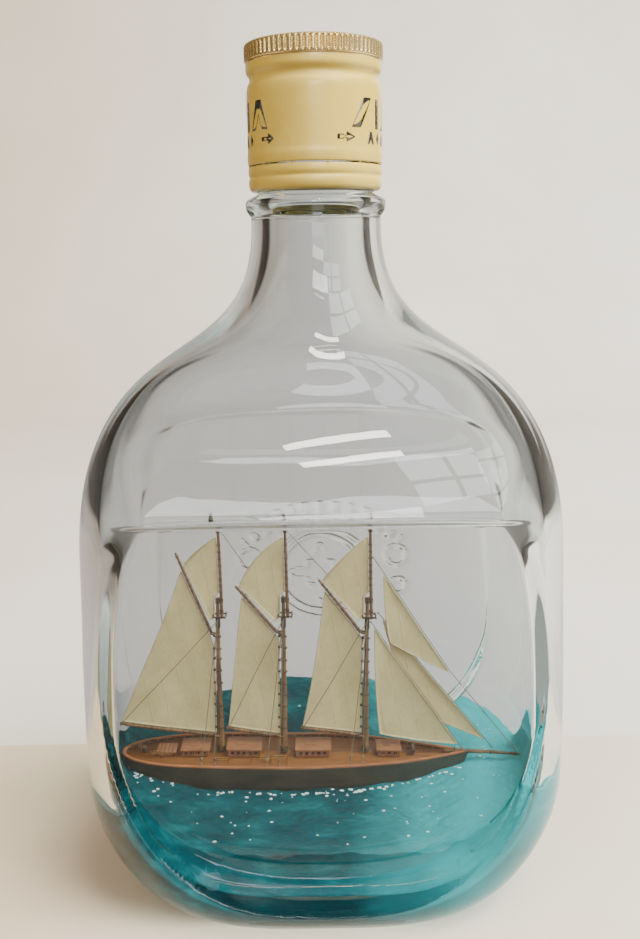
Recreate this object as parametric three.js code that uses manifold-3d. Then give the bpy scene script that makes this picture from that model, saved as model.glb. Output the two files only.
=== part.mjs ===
// A ship in a bottle: a glass flask with flat front and back panels, its screw cap, and a
// three-masted schooner glued into a sea of tinted putty. Millimetres, +Z up, +X towards the
// bow, -Y towards the viewer. The origin is under the middle of the bottle, on the table.
import * as THREE from 'three';
import { mergeVertices } from 'three/addons/utils/BufferGeometryUtils.js';
import { ConvexGeometry } from 'three/addons/geometries/ConvexGeometry.js';
import Module from 'manifold-3d';

const wasm = await Module();
wasm.setup();

// ---- driving dimensions -------------------------------------------------------------------
const GAP = 0.3;                        // air left between touching pieces

const BODY_HALF_WIDTH = 56.8;           // bottle, at its widest
const BODY_HALF_DEPTH = 46;             // bottle, before the panels are pressed flat
const BASE_CORNER = { wide: 30, deep: 10, inner: 21 };    // rounding of the base, front and side
const BASE_RING_INNER = 23;             // inner edge of the flat ring that it stands on
const PUSH_UP = 1.4;                    // how far the middle of the base is dished in
const SIDE_TAPER = 1;                   // narrowing of the sides up to the shoulder
const SHOULDER = { wide: 82, deep: 55 };       // heights where the shoulders start to turn in
const BODY_SQUARENESS = 3.5;            // superellipse power of the body's section
const PANEL_Y = 35.5;                   // front and back panels, from the middle
const PANEL_TOP = 92.8;
const PANEL_WIDEST = 65;
const PANEL_BOTTOM = 10;
const PANEL_HALF_WIDTH = 48.6;
const PANEL_POWER = 2.5;                // superellipse power of a panel's round foot
const WALL = 4;
const FLOOR = 5.4;                      // glass over the rim of the base
const NECK_RADIUS = 14.9;
const NECK_TOP = 157.8;
const NECK_BORE = 10.8;
const BORE_RADIUS = 9.5;                // at the mouth
const LIP_TOP = 190.2;
const RING_RADIUS = 16;                 // transfer ring under the cap
const BEAD_RADIUS = 13.7;               // bead that keeps the tamper ring on
const FINISH_RADIUS = 11.6;             // neck under the thread
const THREAD = { radius: 12.55, pitch: 3.2, turns: 1.6, start: 179 };

const CAP_TOP = 193.7;
const CAP_RADIUS = 15.1;
const CAP_SHEET = 0.55;                 // thickness of the aluminium
const KNURL_RADIUS = 15.45;
const CAP_GROOVE = { z: 186.3, depth: 0.75 };
const CAP_SKIRT_END = 168;
const TAMPER = { top: 167.6, bottom: 162.3, lipRadius: 13.2 };
const INSERT = { outer: 14.2, inner: 12.9, waist: 13.4, bottom: 169 };

const SEA_LEVEL = 18.4;
const BOW_DOWN = THREE.MathUtils.degToRad(1.1);    // the ship sits a little down by the bow
const DECK_Z = 22.9;
const BOW_X = 36.5;
const STERN_X = -51.6;
const WIDEST_X = -10;
const HALF_BEAM = 9.4;
const KEEL_Z = 12.5;
const MASTS = {
  mizzen: { x: -26.7, peak: [-37, 76.4], throatZ: 55.2, boomEnd: [-51.9, 31.2], tackZ: 27.9 },
  main: { x: -10.3, peak: [-22.1, 67.9], throatZ: 55.6, boomEnd: [-24.9, 29.8], tackZ: 28 },
  fore: { x: 10.5, peak: [-1.4, 69.4], throatZ: 56, boomEnd: [-5.9, 30], tackZ: 27.9 },
};
const TOPSAIL_FOOT = { mizzen: 0.86, main: 0.97, fore: 0.97 };    // share of the gaff it reaches
const TOPSAIL_ROACH = { mizzen: 0.4, main: 1.5, fore: 0.4 };     // how far the leech bows out
const LOWER_MAST = { foot: 0.85, head: 0.42, top: 65 };
const TOPMAST = { heel: 0.32, head: 0.24, bottom: 59.4, top: 85.2, ahead: 1.1, rake: 0.9 };
const HOUNDS_Z = 60.2;                  // where the shrouds and crosstrees sit
const GAFF_RADIUS = 0.42;
const BOOM_RADIUS = 0.5;
const SAIL_THICK = 0.4;
const THREAD_LINE = 0.26;               // diameter of the rigging thread
const BOWSPRIT = { heel: [28.5, 24.2], end: [50, 22.6], thick: 0.6, tip: 0.32 };

const GLASS_SIDES = 36;
const CAP_SIDES = 32;

// ---- helpers ------------------------------------------------------------------------------
const scene = new THREE.Group();

// The ship is drawn upright about its own deck and then tipped down by the bow.
const ship = new THREE.Group();
ship.position.set(0, 0, DECK_Z);
ship.rotation.y = BOW_DOWN;
scene.add(ship);
const onDeck = (geometry) => geometry.translate(0, 0, -DECK_Z);

function addMesh(name, geometry, color, roughness = 0.6, metalness = 0, group = scene) {
  const mesh = new THREE.Mesh(geometry, new THREE.MeshStandardMaterial({ color, roughness, metalness }));
  mesh.name = name;
  group.add(mesh);
}

function addToShip(name, geometry, color, roughness = 0.6, metalness = 0) {
  addMesh(name, onDeck(geometry), color, roughness, metalness, ship);
}

function solidOf(geometry) {
  const bare = geometry.clone();
  bare.deleteAttribute('normal');
  bare.deleteAttribute('uv');
  const merged = mergeVertices(bare, 1e-4);
  return new wasm.Manifold(new wasm.Mesh({
    numProp: 3,
    vertProperties: Float32Array.from(merged.attributes.position.array),
    triVerts: Uint32Array.from(merged.index.array),
  }));
}

function geometryOf(solid) {
  const mesh = solid.getMesh();
  const geometry = new THREE.BufferGeometry();
  geometry.setAttribute('position', new THREE.BufferAttribute(mesh.vertProperties, 3));
  geometry.setIndex(new THREE.BufferAttribute(mesh.triVerts, 1));
  geometry.computeVertexNormals();
  return geometry;
}

const join = (...geometries) => geometryOf(geometries.map(solidOf).reduce((sum, s) => sum.add(s)));

// A lathe about +Z from [radius, height] points that start and end on the axis or close up.
function turned(points, sides) {
  const lathe = new THREE.LatheGeometry(points.map(([r, z]) => new THREE.Vector2(r, z)), sides);
  return lathe.rotateX(Math.PI / 2);
}

function block(width, depth, height, x, y, z) {
  return new THREE.BoxGeometry(width, depth, height).translate(x, y, z + height / 2);
}

// A round bar between two points, tapering from one radius to the other.
function bar(from, to, startRadius, endRadius = startRadius, sides = 8) {
  const start = new THREE.Vector3(...from);
  const along = new THREE.Vector3(...to).sub(start);
  const shape = new THREE.CylinderGeometry(endRadius, startRadius, along.length(), sides);
  shape.translate(0, along.length() / 2, 0);
  shape.applyQuaternion(new THREE.Quaternion().setFromUnitVectors(
    new THREE.Vector3(0, 1, 0), along.clone().normalize()));
  return shape.translate(...start.toArray());
}

// A flat plate drawn in the XZ plane, centred on y.
function upright(points, thick, y = 0) {
  const shape = new THREE.Shape(points.map(([x, z]) => new THREE.Vector2(x, z)));
  const plate = new THREE.ExtrudeGeometry(shape, { depth: thick, bevelEnabled: false });
  return plate.rotateX(Math.PI / 2).translate(0, y + thick / 2, 0);
}

// A flat plate drawn in the XY plane, standing on z.
function level(outline, height, z, hole) {
  const shape = new THREE.Shape(outline.map(([x, y]) => new THREE.Vector2(x, y)));
  if (hole) shape.holes.push(new THREE.Path(hole.map(([x, y]) => new THREE.Vector2(x, y))));
  return new THREE.ExtrudeGeometry(shape, { depth: height, bevelEnabled: false }).translate(0, 0, z);
}

const mix = (a, b, t) => a + (b - a) * t;
const smooth = (z, low, high) => THREE.MathUtils.smoothstep(z, low, high);

// ---- bottle -------------------------------------------------------------------------------
const frontShoulder = new THREE.CubicBezierCurve(
  new THREE.Vector2(BODY_HALF_WIDTH - SIDE_TAPER, SHOULDER.wide), new THREE.Vector2(55.8, 138.2),
  new THREE.Vector2(13.1, 117.8), new THREE.Vector2(NECK_RADIUS, NECK_TOP));
const sideShoulder = new THREE.CubicBezierCurve(
  new THREE.Vector2(BODY_HALF_DEPTH, SHOULDER.deep), new THREE.Vector2(BODY_HALF_DEPTH, 118),
  new THREE.Vector2(14, 115), new THREE.Vector2(NECK_RADIUS, NECK_TOP));

// The radius of a shoulder curve at height z, by halving the stretch that holds it.
function radiusOn(curve, z) {
  let low = 0;
  let high = 1;
  for (let i = 0; i < 30; i++) {
    const middle = (low + high) / 2;
    if (curve.getPoint(middle).y < z) low = middle; else high = middle;
  }
  return curve.getPoint(low).x;
}

// How far a quarter round of this radius is drawn in at height z above its start.
function rounding(z, radius) {
  const below = Math.min(Math.max(radius - z, 0), radius);
  return radius - Math.sqrt(radius ** 2 - below ** 2);
}

function halfWidthAt(z) {
  if (z >= NECK_TOP) return NECK_RADIUS;
  if (z > SHOULDER.wide) return radiusOn(frontShoulder, z);
  return BODY_HALF_WIDTH - SIDE_TAPER * smooth(z, 40, SHOULDER.wide) - rounding(z, BASE_CORNER.wide);
}

function halfDepthAt(z) {
  if (z >= NECK_TOP) return NECK_RADIUS;
  if (z > SHOULDER.deep) return radiusOn(sideShoulder, z);
  return BODY_HALF_DEPTH - rounding(z, BASE_CORNER.deep);
}

// How far a point of the front or back lies outside a panel's round foot; negative inside it.
function beyondPanel(x, z) {
  const down = Math.max(PANEL_WIDEST - z, 0);
  const share = ((Math.abs(x) / PANEL_HALF_WIDTH) ** PANEL_POWER
    + (down / (PANEL_WIDEST - PANEL_BOTTOM)) ** PANEL_POWER) ** (1 / PANEL_POWER);
  const foot = Math.hypot(x, down) * (1 - 1 / Math.max(share, 1e-3));
  return mix(foot, -20, smooth(z, 56, 72));
}

// Turns a round lathe into the flask: wide in X, shallow in Y, squarer in the body than in the
// neck. Where flatY is given the flask is held inside it over the panels.
function asFlask(lathe, inset, flatY) {
  const at = lathe.attributes.position;
  for (let i = 0; i < at.count; i++) {
    const [x, y, z] = [at.getX(i), at.getY(i), at.getZ(i)];
    const radius = Math.hypot(x, y);
    if (radius < 1e-6) continue;
    const ratio = Math.min((halfDepthAt(z + inset) - inset) / (halfWidthAt(z + inset) - inset), 1.25);
    const power = mix(BODY_SQUARENESS, 2, smooth(z, 98, 136));
    const reach = radius / (Math.abs(x / radius) ** power + Math.abs(y / radius) ** power) ** (1 / power);
    const across = reach * (x / radius);
    const limit = (flatY ?? 1e3) + 8 * smooth(beyondPanel(across, z), 3, 9)
      + 60 * smooth(z, PANEL_TOP - 1.3, PANEL_TOP + 5.2) ** 2;
    const depth = THREE.MathUtils.clamp(reach * (y / radius) * ratio, -limit, limit);
    at.setXYZ(i, across, depth, z);
  }
  return lathe;
}

const bodyHeights = [1, 3, 6, 10, 15, 20, 26, 42, 62, 82, 94, 103, 110, 116, 121, 126, 131, 136, 142,
  150];
const outerProfile = [
  [0, PUSH_UP], [BASE_RING_INNER - 5, PUSH_UP - 0.6], [BASE_RING_INNER, 0],
  [halfWidthAt(0), 0],
  ...bodyHeights.map((z) => [halfWidthAt(z), z]),
  [NECK_RADIUS, 157], [RING_RADIUS, 158.4], [RING_RADIUS, 160.4], [BEAD_RADIUS, 161.6],
  [12.8, 162.4], [12.8, 165.2], [BEAD_RADIUS, 166.1], [BEAD_RADIUS, 167.1], [FINISH_RADIUS, 168.2],
  [FINISH_RADIUS, LIP_TOP - 0.6], [FINISH_RADIUS - 0.6, LIP_TOP], [0, LIP_TOP],
];

// The room inside the glass, shrunk by a clearance, up to a height.
function insideGlass(clearance, top) {
  const inset = WALL + clearance;
  const floor = FLOOR + clearance;
  const corner = BASE_CORNER.inner;
  const heights = [0, 0.5, 1.8, 4, 7.5, 12, corner].map((rise) => [
    halfWidthAt(30) - inset - rounding(rise, corner), floor + rise]);
  const upper = [30, 42, 60, 82, 92, 96, 101, 108, 115, 121, 127, 132, 138, 146, 152, 161].map((z) => [
    Math.max(halfWidthAt(z) - inset, NECK_BORE - clearance), z]);
  const mouth = [[BORE_RADIUS - clearance, 164], [BORE_RADIUS - clearance, top]];
  const profile = [[0, floor], ...heights, ...upper, ...mouth].filter(([, z]) => z <= top);
  const flat = PANEL_Y - WALL - clearance;
  return asFlask(turned([...profile, [0, top]], GLASS_SIDES), inset, flat);
}

// The outline of a panel's recess: open past the sides, a straight top and a round bottom.
function panelOutline() {
  const points = [[-80, PANEL_TOP], [-80, PANEL_WIDEST]];
  const steps = 22;
  for (let i = 0; i <= steps; i++) {
    const angle = Math.PI * (1 + i / steps);
    const reach = (value) => Math.sign(value) * Math.abs(value) ** (2 / PANEL_POWER);
    points.push([PANEL_HALF_WIDTH * reach(Math.cos(angle)),
      PANEL_WIDEST + (PANEL_WIDEST - PANEL_BOTTOM) * reach(Math.sin(angle))]);
  }
  return [...points, [80, PANEL_WIDEST], [80, PANEL_TOP]];
}

class Helix extends THREE.Curve {
  constructor(radius, pitch, turns, start) {
    super();
    Object.assign(this, { radius, pitch, turns, start });
  }

  getPoint(t, target = new THREE.Vector3()) {
    const angle = 2 * Math.PI * this.turns * t;
    return target.set(this.radius * Math.cos(angle), this.radius * Math.sin(angle),
      this.start + this.pitch * this.turns * t);
  }
}

function glassBottle() {
  const outside = solidOf(asFlask(turned(outerProfile, GLASS_SIDES), 0));
  const thickness = 40;
  const front = solidOf(upright(panelOutline(), thickness, -PANEL_Y - thickness / 2));
  const back = solidOf(upright(panelOutline(), thickness, PANEL_Y + thickness / 2));
  const ridge = THREE.MathUtils.clamp(THREAD.radius - FINISH_RADIUS, 0.5, 2);
  const section = new THREE.Shape([[-0.3, -1], [ridge, -0.4], [ridge, 0.4], [-0.3, 1]]
    .map(([x, y]) => new THREE.Vector2(-x, y)));
  const thread = solidOf(new THREE.ExtrudeGeometry(section, {
    steps: 36, bevelEnabled: false,
    extrudePath: new Helix(FINISH_RADIUS, THREAD.pitch, THREAD.turns, THREAD.start),
  }));
  const room = solidOf(insideGlass(0, LIP_TOP + 5));
  return geometryOf(outside.subtract(front).subtract(back).add(thread).subtract(room));
}
addMesh('glass_bottle', glassBottle(), 0xdfe8e6, 0.05);

// ---- cap ----------------------------------------------------------------------------------
const shellOutside = [
  [KNURL_RADIUS - 1, CAP_TOP], [KNURL_RADIUS, CAP_TOP - 0.8], [KNURL_RADIUS, 190.1],
  [CAP_RADIUS, 189.6], [CAP_RADIUS, CAP_GROOVE.z + 1.2], [CAP_RADIUS - CAP_GROOVE.depth, CAP_GROOVE.z],
  [CAP_RADIUS, CAP_GROOVE.z - 2.4], [CAP_RADIUS, CAP_SKIRT_END],
];
const shellInside = [
  [CAP_RADIUS - CAP_SHEET, CAP_SKIRT_END], [CAP_RADIUS - CAP_SHEET, CAP_GROOVE.z - 2.6],
  [CAP_RADIUS - CAP_GROOVE.depth - CAP_SHEET, CAP_GROOVE.z], [CAP_RADIUS - CAP_SHEET, CAP_GROOVE.z + 1.4],
  [CAP_RADIUS - CAP_SHEET, CAP_TOP - 1], [0, CAP_TOP - 1],
];
addMesh('cap_shell', turned([[0, CAP_TOP], ...shellOutside, ...shellInside].reverse(), CAP_SIDES),
  0xd9c48a, 0.35, 0.3);

const waistEdges = [CAP_GROOVE.z - 3, CAP_GROOVE.z - 1.2, CAP_GROOVE.z + 0.6, CAP_GROOVE.z + 2];
addMesh('thread_insert', turned([
  [INSERT.inner, INSERT.bottom], [INSERT.outer, INSERT.bottom], [INSERT.outer, waistEdges[0]],
  [INSERT.waist, waistEdges[1]], [INSERT.waist, waistEdges[2]], [INSERT.outer, waistEdges[3]],
  [INSERT.outer, LIP_TOP], [INSERT.inner, LIP_TOP], [INSERT.inner, INSERT.bottom],
], CAP_SIDES), 0xf2f2ee, 0.5);

const filmZ = LIP_TOP + GAP;
const padZ = filmZ + 0.4 + GAP;
addMesh('liner_film', turned([[0, filmZ], [12.4, filmZ], [12.4, filmZ + 0.4], [0, filmZ + 0.4]],
  CAP_SIDES), 0xc9ccd0, 0.3, 0.6);
addMesh('liner_pad', turned([[0, padZ], [14, padZ], [14, padZ + 1.2], [0, padZ + 1.2]],
  CAP_SIDES), 0xf4f1e6, 0.8);

const tamperSheet = 0.5;
addMesh('tamper_ring', turned([
  [TAMPER.lipRadius, TAMPER.bottom], [14.6, TAMPER.bottom], [CAP_RADIUS, 163],
  [CAP_RADIUS, 164.6], [CAP_RADIUS - 0.25, 165.2], [CAP_RADIUS, 165.8], [CAP_RADIUS, TAMPER.top],
  [CAP_RADIUS - tamperSheet, TAMPER.top], [CAP_RADIUS - tamperSheet - 0.25, 165.2],
  [CAP_RADIUS - tamperSheet, 163.4], [TAMPER.lipRadius, TAMPER.bottom + 0.6],
  [TAMPER.lipRadius, TAMPER.bottom],
], CAP_SIDES), 0xd9c48a, 0.35, 0.3);

// ---- hull and sea -------------------------------------------------------------------------
// Half the hull's width at x, seen from above, drawn in by an inset all round.
function halfBeamAt(x, inset = 0) {
  const end = x > WIDEST_X ? BOW_X - inset * 2.2 : STERN_X + inset;
  const share = Math.min(Math.abs((x - WIDEST_X) / (end - WIDEST_X)), 1);
  const fullness = x > WIDEST_X ? (1 - share ** 2.1) ** 0.95 : Math.sqrt(1 - share ** 3.6);
  return (HALF_BEAM - inset) * fullness;
}

function deckOutline(inset, steps = 18) {
  const bow = BOW_X - inset * 2.2;
  const stern = STERN_X + inset;
  const side = [];
  for (let i = 1; i < steps; i++) {
    const x = mix(bow, stern, (1 - Math.cos(Math.PI * (i / steps) ** 0.8)) / 2);
    side.push([x, halfBeamAt(x, inset)]);
  }
  return [[bow, 0], ...side, [stern, 0], ...side.map(([x, y]) => [x, -y]).reverse()];
}

function hullShape(swell) {
  const points = [];
  for (const [x, y] of deckOutline(-swell, 14)) {
    const rake = x < WIDEST_X ? 0.3 * (1 - halfBeamAt(x) / HALF_BEAM) : 0;
    points.push(new THREE.Vector3(x, y, DECK_Z - 0.9 + swell * 3));
    points.push(new THREE.Vector3(mix(x, WIDEST_X, 0.04), y * 0.94, SEA_LEVEL - 1));
    points.push(new THREE.Vector3(mix(x, WIDEST_X, 0.16 + rake), y * 0.5, KEEL_Z - swell));
  }
  return new ConvexGeometry(points);
}
addToShip('hull', hullShape(0), 0x23221f, 0.5);

const railWidth = 0.8;
addToShip('deck', level(deckOutline(railWidth + GAP), 0.8, DECK_Z - 0.6), 0x9a6a3f, 0.7);
// The bulwark is notched at the stem, where the bowsprit lies in it.
const bowsprit = (swell) => bar([BOWSPRIT.heel[0], 0, BOWSPRIT.heel[1]],
  [BOWSPRIT.end[0], 0, BOWSPRIT.end[1]], BOWSPRIT.thick + swell, BOWSPRIT.tip + swell);
addToShip('bowsprit', bowsprit(0), 0x7a4a28);
const rail = level(deckOutline(0), 1.5, DECK_Z - 0.6, deckOutline(railWidth));
addToShip('bulwark', geometryOf(solidOf(rail).subtract(solidOf(bowsprit(GAP)))), 0x8a5a35, 0.6);

// The putty's surface dips towards the front glass, is banked up at the back, rises at the hull's
// two ends and has low ripples.
function seaHeight(x, y) {
  const slope = (y < 0 ? 0.12 : 0.05) * y - 0.06 * x * smooth(y, 0, 30);
  const spread = Math.abs(x - 6) / (x > 6 ? 26 : 34);
  const bank = 10 * Math.exp(-(spread ** 3)) * smooth(y, 8, 31);
  const ends = 3.2 * smooth(-x, 22, 50) + 1.5 * smooth(x, 20, 38);
  const ripples = 0.35 * Math.sin(x * 0.42 + y * 0.2) * Math.cos(y * 0.37 - x * 0.11);
  return SEA_LEVEL + slope + bank + ends + ripples;
}

function sea() {
  const [length, depth] = [130, 90];
  const slab = new THREE.BoxGeometry(length, depth, 30, 26, 18, 1).translate(0, 0, 5);
  const at = slab.attributes.position;
  for (let i = 0; i < at.count; i++) {
    if (at.getZ(i) > 5) at.setZ(i, seaHeight(at.getX(i), at.getY(i)));
  }
  const water = solidOf(slab).intersect(solidOf(insideGlass(GAP, 60)));
  const berth = onDeck(hullShape(GAP)).rotateY(BOW_DOWN).translate(0, 0, DECK_Z);
  return geometryOf(water.subtract(solidOf(berth)));
}
addMesh('sea', sea(), 0x1f7f8c, 0.25);

// ---- deck fittings ------------------------------------------------------------------------
const DECK_TOP = DECK_Z + 0.2 + GAP;
const WOOD = 0x8c5a34;

function house(name, x, length, width, height) {
  const walls = block(length, width, height, x, 0, DECK_TOP);
  const roof = block(length + 0.8, width + 0.8, 0.4, x, 0, DECK_TOP + height - 0.2);
  addToShip(name, join(walls, roof), WOOD, 0.6);
}
house('aft_cabin', -33, 6.6, 5.6, 1.6);
house('mid_deckhouse', -20.6, 8.6, 6, 1.9);
house('main_deckhouse', -3, 8.4, 6, 1.8);
house('fore_cabin', 16.4, 5.8, 4.8, 1.6);

addToShip('cargo_hatch', join(block(3.6, 4.6, 0.8, -40.2, 0, DECK_TOP),
  block(4, 5, 0.3, -40.2, 0, DECK_TOP + 0.7)), WOOD, 0.6);

addToShip('windlass', join(
  bar([22.6, -1.9, DECK_TOP + 1.2], [22.6, 1.9, DECK_TOP + 1.2], 0.6),
  block(0.7, 0.6, 1.7, 22.6, -1.2, DECK_TOP), block(0.7, 0.6, 1.7, 22.6, 1.2, DECK_TOP)), 0x4a3a2c);

const wheelX = -46;
addToShip('helm', join(
  block(1.2, 1.1, 1.6, wheelX, 0, DECK_TOP),
  bar([wheelX - 1.3, 0, DECK_TOP + 1.4], [wheelX - 0.9, 0, DECK_TOP + 1.4], 1.2, 1.2, 12),
  bar([wheelX - 1.3, 0, DECK_TOP + 1.4], [wheelX, 0, DECK_TOP + 1.4], 0.35)), 0x5a4028);

// ---- spars and gaff sails -----------------------------------------------------------------
const SPAR = 0x7a4a28;
const CLOTH = 0xe2d8b4;

// A point on the line from one [x, z] to another, moved sideways from it.
function beside([x0, z0], [x1, z1], share, shift) {
  const length = Math.hypot(x1 - x0, z1 - z0);
  return [mix(x0, x1, share) + shift * (z1 - z0) / length, mix(z0, z1, share) - shift * (x1 - x0) / length];
}
const inPlane = ([x, z], y = 0) => [x, y, z];

// How far a topmast's axis is ahead of its lower mast's at height z.
const topmastAhead = (z) => TOPMAST.ahead
  - TOPMAST.rake * (z - TOPMAST.bottom) / (TOPMAST.top - TOPMAST.bottom);

function mastSet(name, mast) {
  const { x, peak, throatZ, boomEnd, tackZ } = mast;
  const foot = DECK_TOP + 0.1;
  const pinZ = foot + 1.6;
  const pinHole = solidOf(bar([x, -3, pinZ], [x, 3, pinZ], 0.5, 0.5, 8));
  const lower = solidOf(bar([x, 0, foot], [x, 0, LOWER_MAST.top], LOWER_MAST.foot, LOWER_MAST.head));
  addToShip(`${name}_mast`, geometryOf(lower.subtract(pinHole)), SPAR);
  addToShip(`${name}_mast_pin`, bar([x, -1.7, pinZ], [x, 1.7, pinZ], 0.2, 0.2, 6), 0xb08d4a, 0.4, 0.8);

  const topmastAt = (z) => [x + topmastAhead(z), 0, z];
  addToShip(`${name}_topmast`, join(
    bar(topmastAt(TOPMAST.bottom), topmastAt(TOPMAST.top), TOPMAST.heel, TOPMAST.head),
    bar(topmastAt(82.2), topmastAt(83.4), 0.62, 0.5)), SPAR);

  const arms = [-1, 1].map((side) => block(3.4, 0.5, 0.5, x + 0.475, side * 1.35, HOUNDS_Z));
  const spreaders = [-1.15, 2.1].map((shift) => block(0.5, 4.6, 0.5, x + shift, 0, HOUNDS_Z));
  addToShip(`${name}_crosstrees`, join(...arms, ...spreaders), SPAR);

  const luffX = x - LOWER_MAST.foot - GAP;
  const throat = [luffX - 0.5, throatZ];
  const tack = [luffX - 0.5, tackZ];
  addToShip(`${name}_gaff`, bar(inPlane(throat), inPlane(peak), GAFF_RADIUS, 0.38), SPAR);
  addToShip(`${name}_boom`, bar(inPlane(tack), inPlane(boomEnd), BOOM_RADIUS, 0.45), SPAR);

  const away = GAFF_RADIUS + GAP;
  const headAft = beside(throat, peak, 0.8, -away);
  const headLine = beside(throat, peak, 0, -away);
  const gaffSlope = (peak[1] - throat[1]) / (peak[0] - throat[0]);
  const headFore = [luffX, headLine[1] + (luffX - headLine[0]) * gaffSlope];
  const clew = beside(tack, boomEnd, 0.985, away);
  const foreFoot = beside(tack, boomEnd, 0.02, away);
  addToShip(`${name}_sail`, upright([headAft, headFore, [luffX, foreFoot[1]], clew], SAIL_THICK), CLOTH, 0.9);

  const luffAt = (z) => [x + topmastAhead(z) - TOPMAST.heel - GAP, z];
  const besideHead = x - LOWER_MAST.head - GAP - 0.2;
  const topHead = luffAt(80.6);
  const lowAft = beside(throat, peak, TOPSAIL_FOOT[name], away);
  const lowFore = beside(throat, peak, 0.12, away);
  addToShip(`${name}_topsail`, upright([
    topHead, beside(topHead, lowAft, 0.45, TOPSAIL_ROACH[name]), lowAft,
    [Math.min(lowFore[0], besideHead), lowFore[1] + 1],
    [besideHead, LOWER_MAST.top + 0.4], luffAt(LOWER_MAST.top + 1.2),
  ], SAIL_THICK), CLOTH, 0.9);

  const lift = 1.25;
  addToShip(`${name}_topping_lift`, bar([x - 0.3, -lift, HOUNDS_Z - 1.4], inPlane(boomEnd, -lift),
    THREAD_LINE / 2, THREAD_LINE / 2, 4), 0x6d6250);

  for (const [side, way] of [['near', -1], ['far', 1]]) {
    const top = [x, way * 1.05, HOUNDS_Z - 0.6];
    const lines = [-1, -4.2].map((aft) => {
      const chainX = x + aft;
      return bar([chainX, way * (halfBeamAt(chainX, railWidth) - 0.5), DECK_TOP + 0.1], top,
        THREAD_LINE / 2, THREAD_LINE / 2, 4);
    });
    addToShip(`${name}_shrouds_${side}`, join(...lines), 0x6d6250);
  }
}
for (const [name, mast] of Object.entries(MASTS)) mastSet(name, mast);

// ---- headsails and stays ------------------------------------------------------------------
const stays = {
  staysail_stay: [[MASTS.fore.x + 0.95, 58.9], [35, DECK_TOP + 1.5]],
  jib_stay: [[MASTS.fore.x + 2.8, 60.6], [43, 24.2]],
  outer_stay: [[MASTS.fore.x + topmastAhead(75.4) + 0.6, 75.4], [31.8, 45],
    [BOWSPRIT.end[0] - 0.6, BOWSPRIT.end[1] + 0.8]],
};
const stayY = { staysail_stay: -0.9, jib_stay: 0.9, outer_stay: 0 };
for (const [name, line] of Object.entries(stays)) {
  const pieces = line.slice(1).map((point, i) => bar(inPlane(line[i], stayY[name]),
    inPlane(point, stayY[name]), THREAD_LINE / 2, THREAD_LINE / 2, 4));
  addToShip(name, join(...pieces), 0x6d6250);
}

function headsail(name, stay, from, to, clew) {
  const [start, end] = stays[stay];
  const away = -(THREAD_LINE / 2 + 0.25);
  addToShip(name, upright([beside(start, end, from, -away), beside(start, end, to, -away), clew],
    SAIL_THICK, stayY[stay]), CLOTH, 0.9);
}
headsail('staysail', 'staysail_stay', 0.05, 0.96, [14.2, 28.8]);
headsail('jib', 'jib_stay', 0.05, 0.93, [22.5, 35.1]);
headsail('flying_jib', 'outer_stay', 0.15, 0.98, [16.3, 53.2]);

// Stays from one topmast's head down to the crosstrees of the mast ahead.
for (const [aft, ahead] of [['mizzen', 'main'], ['main', 'fore']]) {
  const from = [MASTS[aft].x + topmastAhead(82) + 0.6, 0, 82];
  const to = [MASTS[ahead].x - 1.6, 0, HOUNDS_Z + 1.2];
  addToShip(`${aft}_topmast_stay`, bar(from, to, THREAD_LINE / 2, THREAD_LINE / 2, 4)
    .translate(0, 0.75, 0), 0x6d6250);
}

export default scene;
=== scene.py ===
import math

import bpy
import numpy as np
from mathutils import Matrix, Quaternion, Vector

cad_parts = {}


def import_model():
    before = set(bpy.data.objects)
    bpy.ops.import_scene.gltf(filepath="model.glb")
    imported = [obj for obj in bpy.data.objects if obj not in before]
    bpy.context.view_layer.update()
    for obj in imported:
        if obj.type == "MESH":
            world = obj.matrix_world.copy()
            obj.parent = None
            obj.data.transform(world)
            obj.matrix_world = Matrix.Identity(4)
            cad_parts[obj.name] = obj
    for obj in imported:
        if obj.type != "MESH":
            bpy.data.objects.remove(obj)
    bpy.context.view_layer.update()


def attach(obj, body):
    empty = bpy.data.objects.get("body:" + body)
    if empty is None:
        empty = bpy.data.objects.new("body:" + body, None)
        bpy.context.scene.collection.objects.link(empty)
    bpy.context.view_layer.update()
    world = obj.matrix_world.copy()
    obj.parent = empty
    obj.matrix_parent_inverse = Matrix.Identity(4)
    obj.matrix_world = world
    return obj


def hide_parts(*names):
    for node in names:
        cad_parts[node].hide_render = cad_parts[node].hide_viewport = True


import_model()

# Sizes are in millimetres, as in the part, and become metres when a piece is made.
MM = 0.001
GAP = 0.3

# ---- driving dimensions of the bottle -------------------------------------------------------
BODY_HALF_WIDTH, BODY_HALF_DEPTH = 56.8, 46.0
BASE_WIDE, BASE_DEEP, BASE_INNER = 30.0, 10.0, 21.0    # roundings of the base
BASE_RING_INNER, PUSH_UP = 23.0, 1.4
SIDE_TAPER = 1.0
SHOULDER_WIDE, SHOULDER_DEEP = 82.0, 55.0
BODY_SQUARENESS = 3.5
PANEL_Y, PANEL_TOP, PANEL_WIDEST, PANEL_BOTTOM = 35.5, 92.8, 65.0, 10.0
PANEL_HALF_WIDTH, PANEL_POWER = 48.6, 2.5
WALL, FLOOR = 4.0, 5.4
NECK_RADIUS, NECK_TOP, NECK_BORE, BORE = 14.9, 157.8, 10.8, 9.5
LIP_TOP, RING_RADIUS, BEAD_RADIUS, FINISH_RADIUS = 190.2, 16.0, 13.7, 11.6
THREAD_RADIUS, THREAD_PITCH, THREAD_TURNS, THREAD_START = 12.55, 3.2, 1.6, 179.0

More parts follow.
